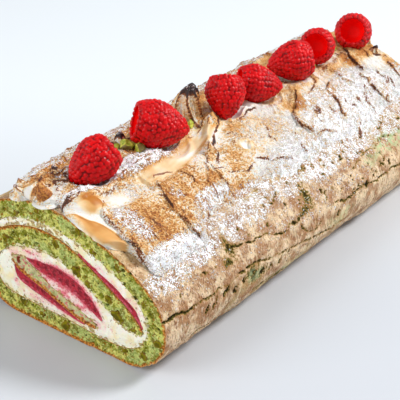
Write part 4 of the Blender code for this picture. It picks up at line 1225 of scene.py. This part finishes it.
def meringue_fields(y, s, low, high):
    """Height of the meringue over the crust, how far it leans out, and the values that its colours go by."""
    p = np.stack([y, s], 1)
    bent = p + wobble(p, 0.5, 5.0, 101) + wobble(p, 0.35, 1.6, 103)
    silk = patches(p, SILKY)
    uneven = noise(p, 6.0, 108)
    crest = ease((9 - s) / 3) * ease((s + 26) / 6) * (1 - silk) * (0.35 + 0.65 * ease((110 - y) / 30))
    fold = np.maximum(wrinkles(p) * (1 - silk), top_lines(p, crest))
    fine = 0.42 * rough(p, 3.6, 3, 106) + 0.34 * noise(p, 1.5, 107)
    height = MERINGUE_THICKNESS + 0.9 * rough(p, 12.0, 2, 105) + fine * (1 - 0.95 * silk) + 0.8 * fold
    plates, burn, lean = stroke_lips(p, bent, uneven)
    here_and_there = ease(0.45 + 1.6 * noise(p, 4.5, 118))
    burn = np.maximum(burn, 0.9 * ease((fold - 0.45) / 0.5) * np.maximum(here_and_there, 1.2 * crest))
    height += plates
    raise_ridges(p, bent, uneven, height, burn)
    valley, tone = press_valleys(p, height)
    for hump_y, hump_s, along, across, tall in HUMPS:
        height += tall * bell((y - hump_y) / along) * bell((s - hump_s) / across)
    toast = patches(bent, TOASTED) + 0.10 + 0.10 * (plates - 1)
    toast -= 0.4 * rough(p * [1.0, 0.7], 9.0, 3, 111) * (1 - silk)
    toast += 0.25 * fold + 0.16 * lean * (1 - silk)
    toast += (tone - toast) * ease(valley * 1.3)
    front = ease((9.5 - y) / 1.5) * ease((s - 5) / 3) * ease((50 - s) / 4)
    toast += (lip_gold(p) - toast) * front
    toast = toast * (1 - patches(bent, WHITE))
    inner = np.minimum(s - low, high - s) + 1.6 * noise(p, 4.0, 112)
    thin = ease((y - 42) / 8)
    bottom = 0.25 - 1.5 * thin
    height = bottom + (height - bottom) * ease(inner / (6 + 6 * thin))
    sugar = patches(p, MERINGUE_SUGAR) * ((1 - 0.9 * silk) * (1 - 0.9 * ease(1.6 * burn - 0.3)))
    return height, lean, {"toast": toast, "burn": burn, "sugar": sugar_amount(sugar), "silk": silk}


def dented(points, floor):
    """The meringue is pressed down under each raspberry, with a low rim round it."""
    for middle, _, width, length in BERRIES:
        off = points - np.array(middle)
        reach = np.hypot(off[:, 0], off[:, 1])
        radius = min(width, length) / 2
        under = middle[2] - np.sqrt(np.maximum(radius**2 - reach**2, 0)) - 0.3
        pressed = (reach < radius) & (points[:, 2] > under)
        points[:, 2] = np.where(pressed, np.maximum(under, floor), points[:, 2])
        points[:, 2] += 0.9 * bell((reach - radius - 0.8) / 1.3) * (np.abs(off[:, 2]) < 14)
    return points


def sheet_s(low, high):
    """The s of each column of the meringue's grid, from its left edge to its right one."""
    back = np.linspace(0, 1, BACK_COLUMNS + 1)[:-1]
    front = np.linspace(0, 1, FRONT_COLUMNS)
    left = low[:, None] + (PART_S - low)[:, None] * back
    return np.concatenate([left, PART_S + (high - PART_S)[:, None] * front], 1)


def make_meringue_sheet():
    """The spread meringue: a grid of points over the crust, what lies under each, and the fields."""
    rows = SHEET_Y[:, None]
    low = looked_up(SHEET_Y, LEFT_EDGE) + 1.4 * rough(in_a_row(SHEET_Y), 7.0, 3, 121)
    high = looked_up(SHEET_Y, RIGHT_EDGE) + 1.2 * rough(in_a_row(SHEET_Y), 6.0, 3, 122)
    s_grid = sheet_s(low, high)
    edge = looked_up(s_grid, FRONT_EDGE) + 0.5 * rough(in_a_row(s_grid), 4.0, 3, 123)
    warped = edge + (rows - MERINGUE_START) * (WARPED - edge) / (WARPED - MERINGUE_START)
    y_grid = np.where(rows < WARPED, warped, rows)
    y, s = y_grid.ravel(), s_grid.ravel()
    columns = s_grid.shape[1]
    height, lean, fields = meringue_fields(y, s, np.repeat(low, columns), np.repeat(high, columns))
    from_end = np.minimum(y - edge.ravel(), MERINGUE_END - y)
    height *= 0.25 + 0.75 * np.sqrt(1 - np.square(1 - np.clip(from_end / 3.4, 0, 1)))
    far_wave = 1.2 * (rough(in_a_row(s), 5.0, 3, 123) + 0.4) * ease(1 - (MERINGUE_END - y) / 8)
    along = y - far_wave - 0.8 * lean
    floor = on_crust(along, s, MERINGUE_GAP)[:, 2]
    grid = dented(on_crust(along, s, MERINGUE_GAP + height), floor).reshape(*y_grid.shape, 3)
    low_out = np.minimum(0.1, MERINGUE_GAP + height - 0.4)
    under = on_crust(np.clip(along, 0.5, ROLL_LENGTH - 0.5), s, low_out).reshape(*y_grid.shape, 3)
    return grid, under, {name: values.reshape(y_grid.shape) for name, values in fields.items()}


def ring_of(grid):
    """What lies along the four sides of a grid, once round."""
    return np.concatenate([grid[0, :-1], grid[:-1, -1], grid[-1, :0:-1], grid[:0:-1, 0]])


# Toasted peaks: foot (y, s), height, foot radius, lean along x and y, twist, how burnt the tip is, how blunt
PEAKS = (
    (2.0, -4.0, 4.6, 3.5, 0.2, -2.4, 0.2, 0.0, 3.6),
    (2.0, -19.0, 1.8, 3.0, -3.0, -1.0, 0.8, 0.6, 1.3),
    (8.0, -24.0, 1.8, 2.8, -3.0, 0.0, 1.0, 0.6, 1.3),
    (22.0, -16.0, 3.4, 3.2, -3.0, -1.0, 0.7, 1.5, 1.4),
    (46.0, -11.0, 5.0, 3.4, 0.5, 5.0, 1.2, 1.7, 1.5),
    (57.0, -13.0, 6.5, 3.8, -1.0, 3.0, 1.0, 2.0, 1.9),
    (99.0, -8.5, 18.0, 6.6, 3.0, 3.5, 0.7, 1.7, 2.4),
    (90.0, -13.0, 8.0, 4.6, -1.0, 4.0, 1.1, 1.8, 1.6),
    (103.0, 5.0, 4.0, 4.0, -2.0, 2.0, 0.6, 0.2, 2.2),
    (134.0, -13.0, 4.0, 3.8, -2.0, 4.0, 0.8, 1.2, 1.4),
    (160.0, -12.0, 9.0, 2.8, 0.0, 2.0, 0.9, 0.6, 1.7),
    (192.0, -15.0, 4.0, 3.6, -2.0, 3.0, 1.0, 1.2, 1.4),
    (222.0, -14.0, 5.0, 3.8, -2.0, 3.0, 0.7, 1.4, 1.4),
    (246.0, 8.0, 4.5, 3.2, 2.0, 2.0, 0.8, 1.4, 1.6),
    (240.0, 16.0, 4.5, 3.2, 3.0, 1.0, 0.8, 1.4, 1.6),
)
PEAK_SEED = 197


def peak(y, s, height, radius, lean_x, lean_y, twist, char, blunt, seed):
    """A pulled-up peak: folds that run up to a tip which leans over. Where char is 0 it is a plain ball."""
    around, levels = (56, 44) if radius > 5 else (30, 24)
    rng = np.random.default_rng(seed)
    folds = rng.integers(4, 7)
    phase = rng.uniform(0, 6.28, 3)
    share = np.linspace(0, 1, levels)[:, None]
    angle = (2 * math.pi * np.arange(around) / around)[None, :]
    turned = angle + twist * share * 2
    ridge = 0.20 * np.cos(folds * turned + phase[0]) + 0.11 * np.cos((2 * folds + 1) * turned + phase[1])
    ridge = (ridge + 0.05 * np.cos(13 * turned + phase[2])) * (1.0 if char else 0.15)
    flare = 1 + 0.7 * ease(1 - share / 0.25)
    size = radius * flare * (1 - share**blunt) ** 0.75 * (1 + ridge * ease(share / 0.15)) + 0.25 * (1 - share)
    bow = share**1.7
    foot = on_crust(np.array(y), np.array(s), 0.6)
    x = foot[0] + lean_x * bow + size * np.cos(angle)
    along = foot[1] + lean_y * bow + size * np.sin(angle)
    z = foot[2] + (height + 3.0) * share + 0 * angle
    spot = np.stack([x, along, z], -1).reshape(-1, 3)
    share = np.repeat(share.ravel(), around)
    spot[:, :2] += wobble(spot, 0.28, 2.2, seed) * (1 - share)[:, None]
    fields = peak_fields(share, ridge.ravel() * 2.2, char)
    return spot, [grid_faces(levels, around, ring=True)], fields


def peak_fields(share, high, char):
    """The fields of a peak at a share of its height, high on its folds."""
    toast = 0.24 + 0.26 * share + 0.5 * high if char else 1.2 * ease(share / 0.5)
    burn = char * ease((share - 0.68) / 0.2)
    dusted = 0.14 - 0.1 * share
    if char:
        burn += 0.9 * ease((high - 0.30) / 0.2)
        dusted += 0.40 * ease((share - 0.74) / 0.2)
    return {"toast": toast, "burn": burn, "sugar": sugar_amount(dusted), "silk": np.full(len(share), 0.4)}


def make_meringue():
    """The sheet with its edge turned under, and the peaks on it. Gives the sheet's grid."""
    grid, under, fields = make_meringue_sheet()
    rows, columns = grid.shape[:2]
    count = rows * columns
    rim = ring_of(np.arange(count).reshape(rows, columns))
    n = np.arange(len(rim))
    following = (n + 1) % len(rim)
    wall = np.stack([rim[n], count + n, count + following, rim[following]], 1)
    fields = {name: np.concatenate([f.ravel(), ring_of(f)]) for name, f in fields.items()}
    points = np.vstack([grid.reshape(-1, 3), ring_of(under)])
    parts = [(points, [grid_faces(rows, columns)[:, ::-1], wall], fields)]
    parts += [peak(*spec, PEAK_SEED + 3 * i) for i, spec in enumerate(PEAKS)]
    piece("toasted_meringue", *joined(parts), meringue_paint(), "meringue", ["meringue"])
    return grid


# The fruit and nuts

def berry_radius(share, width):
    """The outline of a raspberry: its radius at a share of the way from the open end to the tip."""
    blunt = np.maximum(0.0, 1 - np.maximum(0.0, (share - 0.28) / 0.72) ** 1.7) ** 0.68
    opening = np.sin(math.pi / 2 * np.minimum(1.0, share / 0.36))
    return width / 2 * blunt * (0.78 + 0.22 * opening)


def turn_to(way):
    return np.array(Vector(way).normalized().to_track_quat("Z", "Y").to_matrix())


DRUPELET = 2.5
DRUPELET_SINK = 0.85


def berry_profile(width, length):
    """A raspberry's radius and height down its hollow, over the rim and along the outside to the tip."""
    hollow = ((0.0, 9.0), (0.15, 8.8), (0.26, 6.0), (0.30, 3.2), (0.315, 0.9), (0.325, 0.2), (0.345, 0.0))
    share = np.linspace(0.03, 1, 60)
    radius = berry_radius(share, width) - DRUPELET_SINK * (1 - share**6)
    outer = np.stack([radius, share * (length - DRUPELET_SINK)], 1)
    path = np.vstack([np.array(hollow) * (width, 1), outer])
    path[-1, 0] = 0.0
    return resample(smooth(path, 4), 0.32)


def drupelets(path, lengths, rim_at, rng):
    """The middles of the drupelets: staggered rings from the rim to the tip."""
    centres, spin = [], rng.uniform(0, 6)
    for i, at in enumerate(np.arange(rim_at - 0.2, lengths[-1] - 1.2, DRUPELET * 0.80)):
        radius, z = (np.interp(at, lengths, column) for column in path.T)
        count = max(4, round(2 * math.pi * radius / (DRUPELET * 0.93)))
        for k in range(count):
            turn = spin + i * math.pi / count + 2 * math.pi * (k + rng.uniform(-0.18, 0.18)) / count
            centres.append((radius * math.cos(turn), radius * math.sin(turn), z + rng.uniform(-0.35, 0.35)))
    return np.array([*centres, (0.0, 0.0, path[-1, 1])])


def spun(path, ring):
    """A path's points turned round the axis, row by row."""
    height = np.repeat(path[:, None, 1:], len(ring), 1)
    return np.concatenate([path[:, None, :1] * ring[None], height], -1).reshape(-1, 3)


def raspberry(number, middle, way, width, length, paint):
    rng = np.random.default_rng(BERRY_SEED + number)
    path = berry_profile(width, length)
    around = 180
    angle = 2 * math.pi * np.arange(around) / around
    ring = np.stack([np.cos(angle), np.sin(angle)], 1)
    flat, facing = spun(path, ring), spun(-normals_of(path), ring)
    lengths = np.r_[0, np.cumsum(np.hypot(*np.diff(path, axis=0).T))]
    rim_at = lengths[np.argmin(path[:, 1] + np.where(path[:, 0] < width * 0.30, 9, 0))]
    centres = drupelets(path, lengths, rim_at, rng)
    sizes = DRUPELET / 2 * rng.uniform(1.08, 1.30, len(centres))
    apart = np.linalg.norm(flat[:, None, :] - centres[None], axis=2)
    dome = np.sqrt(np.maximum(sizes[None] ** 2 - apart**2, 0)).max(1)
    outside = np.repeat(ease((lengths - rim_at + 1.6) / 1.2), around)
    moved = flat + facing * (np.maximum(dome - 0.72, 0.05) * outside)[:, None]
    moved *= 1 + 0.025 * rough(flat / width * 10, 7.0, 2, BERRY_SEED + number)[:, None]
    moved = (moved - (0, 0, length / 2)) @ turn_to(way).T + np.array(middle)
    # How deep in a crease between drupelets each point lies: the paint puts shade there and a highlight on
    # the drupelets' tops.
    fields = {"drupelet_shading": ease((1.16 - dome) / 0.6) * outside, "hollow": 1 - outside}
    faces = [grid_faces(len(path), around, ring=True)]
    piece(f"berry_{number + 1}", moved, faces, fields, paint, "raspberry", [f"raspberry_{number + 1}"])


# Chopped pistachios: y, s and size
PISTACHIOS = (
    (55.5, -7.0, 6.2), (57.8, -1.4, 6.0), (94.5, -0.4, 5.0), (51.5, -10.0, 4.4),
    (192.5, 5.5, 4.6), (60.5, -5.5, 3.8), (133.0, 0.5, 4.2), (161.0, 1.0, 3.8), (221.5, 1.5, 4.2),
)


def sphere_points(rows, around):
    """A closed ball of points, row by row from pole to pole, and its faces."""
    up = np.linspace(0, math.pi, rows)[:, None]
    turn = 2 * math.pi * np.arange(around) / around
    points = np.stack([np.sin(up) * np.cos(turn), np.sin(up) * np.sin(turn), np.cos(up) + 0 * turn], -1)
    return points.reshape(-1, 3), grid_faces(rows, around, ring=True)[:, ::-1]


def make_pistachios(grid):
    """Chopped pistachios: balls cut flat by a few planes, half sunk in the meringue."""
    ball, quads = sphere_points(26, 36)
    spots = grid.reshape(-1, 3)
    parts = []
    for i, (y, s, size) in enumerate(PISTACHIOS):
        rng = np.random.default_rng(400 + i)
        planes = rng.normal(size=(10, 3))
        planes /= np.linalg.norm(planes, axis=1)[:, None]
        reach = rng.uniform(0.48, 0.9, 10)
        limit = reach / np.maximum(ball @ planes.T, 0.05)
        radius = np.minimum(limit.min(1), 1.0)
        shape = ball * radius[:, None] * size / 2 * (1.15, 0.9, 0.85)
        shape += ball * (0.09 * size * rough(ball, 0.5, 2, 410 + i))[:, None]
        foot = spots[np.argmin(np.linalg.norm(spots - on_crust(np.array(y), np.array(s), 4.0), axis=1))]
        angle = rng.uniform(0, math.pi)
        cos, sin = math.cos(angle), math.sin(angle)
        spin = np.array([[cos, -sin, 0], [sin, cos, 0], [0, 0, 1]])
        skin = (limit.argmin(1) < 2) * 1.0
        parts.append((shape @ spin.T + foot + (0, 0, size * 0.22), [quads], {"skin": skin}))
    piece("chopped_pistachio", *joined(parts), nut_paint(), "meringue")


def sugar_places(rng, count):
    """Where grains of sugar lie: y, s and whether each is on the meringue."""
    y = rng.uniform(2, ROLL_LENGTH - 2, count * 6)
    s = rng.uniform(-70, 78, count * 6)
    p = np.stack([y, s], 1)
    on_top = (s > looked_up(y, LEFT_EDGE) + 1) & (s < looked_up(y, RIGHT_EDGE) - 1)
    density = np.where(on_top, patches(p, MERINGUE_SUGAR), patches(p, CRUST_SUGAR))
    keep = np.flatnonzero(rng.uniform(0.25, 1.3, len(y)) < density + 0.35 * noise(p, 3.2, 501))[:count]
    return y[keep], s[keep], on_top[keep]


def on_sheet(grid, y, s):
    """The points of the meringue's grid nearest to some places."""
    low, high = looked_up(y, LEFT_EDGE), looked_up(y, RIGHT_EDGE)
    rows, columns = grid.shape[:2]
    i = np.clip(np.searchsorted(SHEET_Y, y), 0, rows - 1)
    back = (s - low) / (PART_S - low) * BACK_COLUMNS
    front = BACK_COLUMNS + (s - PART_S) / (high - PART_S) * (FRONT_COLUMNS - 1)
    j = np.clip(np.round(np.where(s < PART_S, back, front)).astype(int), 0, columns - 1)
    return grid[i, j]


def make_sugar(grid, count=7000):
    """Grains and clumps of icing sugar where the meringue and the crust are dusted: uneven octahedra."""
    rng = np.random.default_rng(500)
    y, s, on_top = sugar_places(rng, count)
    spots = np.where(on_top[:, None], on_sheet(grid, y, s), on_crust(y, s, crust_fields(y, s)[0]))
    size = rng.uniform(0.14, 0.36, len(y)) * (1 + (rng.uniform(size=len(y)) > 0.93) * 0.8)
    corners = np.array([(1, 0, 0), (0, 1, 0), (-1, 0, 0), (0, -1, 0), (0, 0, 1), (0, 0, -1)], float)
    shape = corners[None] * size[:, None, None] * rng.uniform(0.7, 1.3, (len(y), 6, 1))
    verts = (spots[:, None] + shape).reshape(-1, 3)
    one = np.array([(0, 1, 4), (1, 2, 4), (2, 3, 4), (3, 0, 4), (1, 0, 5), (2, 1, 5), (3, 2, 5), (0, 3, 5)])
    faces = (one[None] + 6 * np.arange(len(y))[:, None, None]).reshape(-1, 3)
    piece("icing_sugar", verts, [faces], {}, sugar_paint(), "meringue")


# Floor, lights and camera

FLOOR_REACH = 6.0
FLOOR_DROP = 0.0002
LIT = (0, 0, 0.03)


def make_floor():
    mesh = bpy.data.meshes.new("floor")
    far = FLOOR_REACH
    corners = [(x, y, -FLOOR_DROP) for x, y in ((-far, -far), (far, -far), (far, far), (-far, far))]
    mesh.from_pydata(corners, [], [(0, 1, 2, 3)])
    floor = bpy.data.objects.new("floor", mesh)
    bpy.context.scene.collection.objects.link(floor)
    paint = Paint("floor", Roughness=0.35)
    # Painted light falloff: the floor is darker towards the camera and lighter away from it.
    across, away = paint.times(paint.coordinate("X"), 0.6), paint.times(paint.coordinate("Y"), 0.8)
    away = paint.math("SUBTRACT", away, across)
    mesh.materials.append(paint.finish(paint.two_tone(away, -0.08, 0.20, (204, 208, 214), (232, 238, 242))))


def area_light(name, spot, size, power):
    """A round soft light, in metres and watts, that points at the middle of the roll."""
    data = bpy.data.lights.new(name, "AREA")
    data.shape = "DISK"
    data.size = size
    data.energy = power
    made = bpy.data.objects.new(name, data)
    made.location = spot
    made.rotation_euler = (Vector(LIT) - Vector(spot)).to_track_quat("-Z", "Y").to_euler()
    bpy.context.scene.collection.objects.link(made)


def make_lights():
    area_light("key", (0.9, 0.9, 1.3), 0.5, 30)
    area_light("fill", (-0.6, -1.4, 0.9), 1.2, 16)
    world = bpy.data.worlds.new("studio")
    world.use_nodes = True
    background = world.node_tree.nodes["Background"]
    background.inputs["Color"].default_value = (0.93, 0.96, 1.0, 1.0)
    background.inputs["Strength"].default_value = 0.47
    bpy.context.scene.world = world


AZIMUTH = math.radians(37.97)
ELEVATION = math.radians(28.16)
CAMERA_SPOT = (294.24, -276.12, 278.68)


def make_camera():
    data = bpy.data.cameras.new("camera")
    data.sensor_width = 36.0
    data.lens = 99.0
    data.clip_start = 0.01
    made = bpy.data.objects.new("camera", data)
    bpy.context.scene.collection.objects.link(made)
    flat = math.cos(ELEVATION)
    back = Vector((math.sin(AZIMUTH) * flat, -math.cos(AZIMUTH) * flat, math.sin(ELEVATION)))
    right = Vector((math.cos(AZIMUTH), math.sin(AZIMUTH), 0))
    turn = Matrix((right, back.cross(right), back)).transposed()
    made.matrix_world = Matrix.Translation((np.array(CAMERA_SPOT) + SHIFT) * MM) @ turn.to_4x4()
    bpy.context.scene.camera = made


make_camera()
make_floor()
make_lights()
CRUMB = sponge_paint()
make_sponge(CRUMB)
make_core(CRUMB)
make_jelly()
make_cream()
MERINGUE_GRID = make_meringue()
BERRY_RED = berry_paint()
for number, berry in enumerate(BERRIES):
    raspberry(number, *berry, BERRY_RED)
make_pistachios(MERINGUE_GRID)
make_sugar(MERINGUE_GRID)
bpy.context.scene.view_settings.view_transform = "Standard"
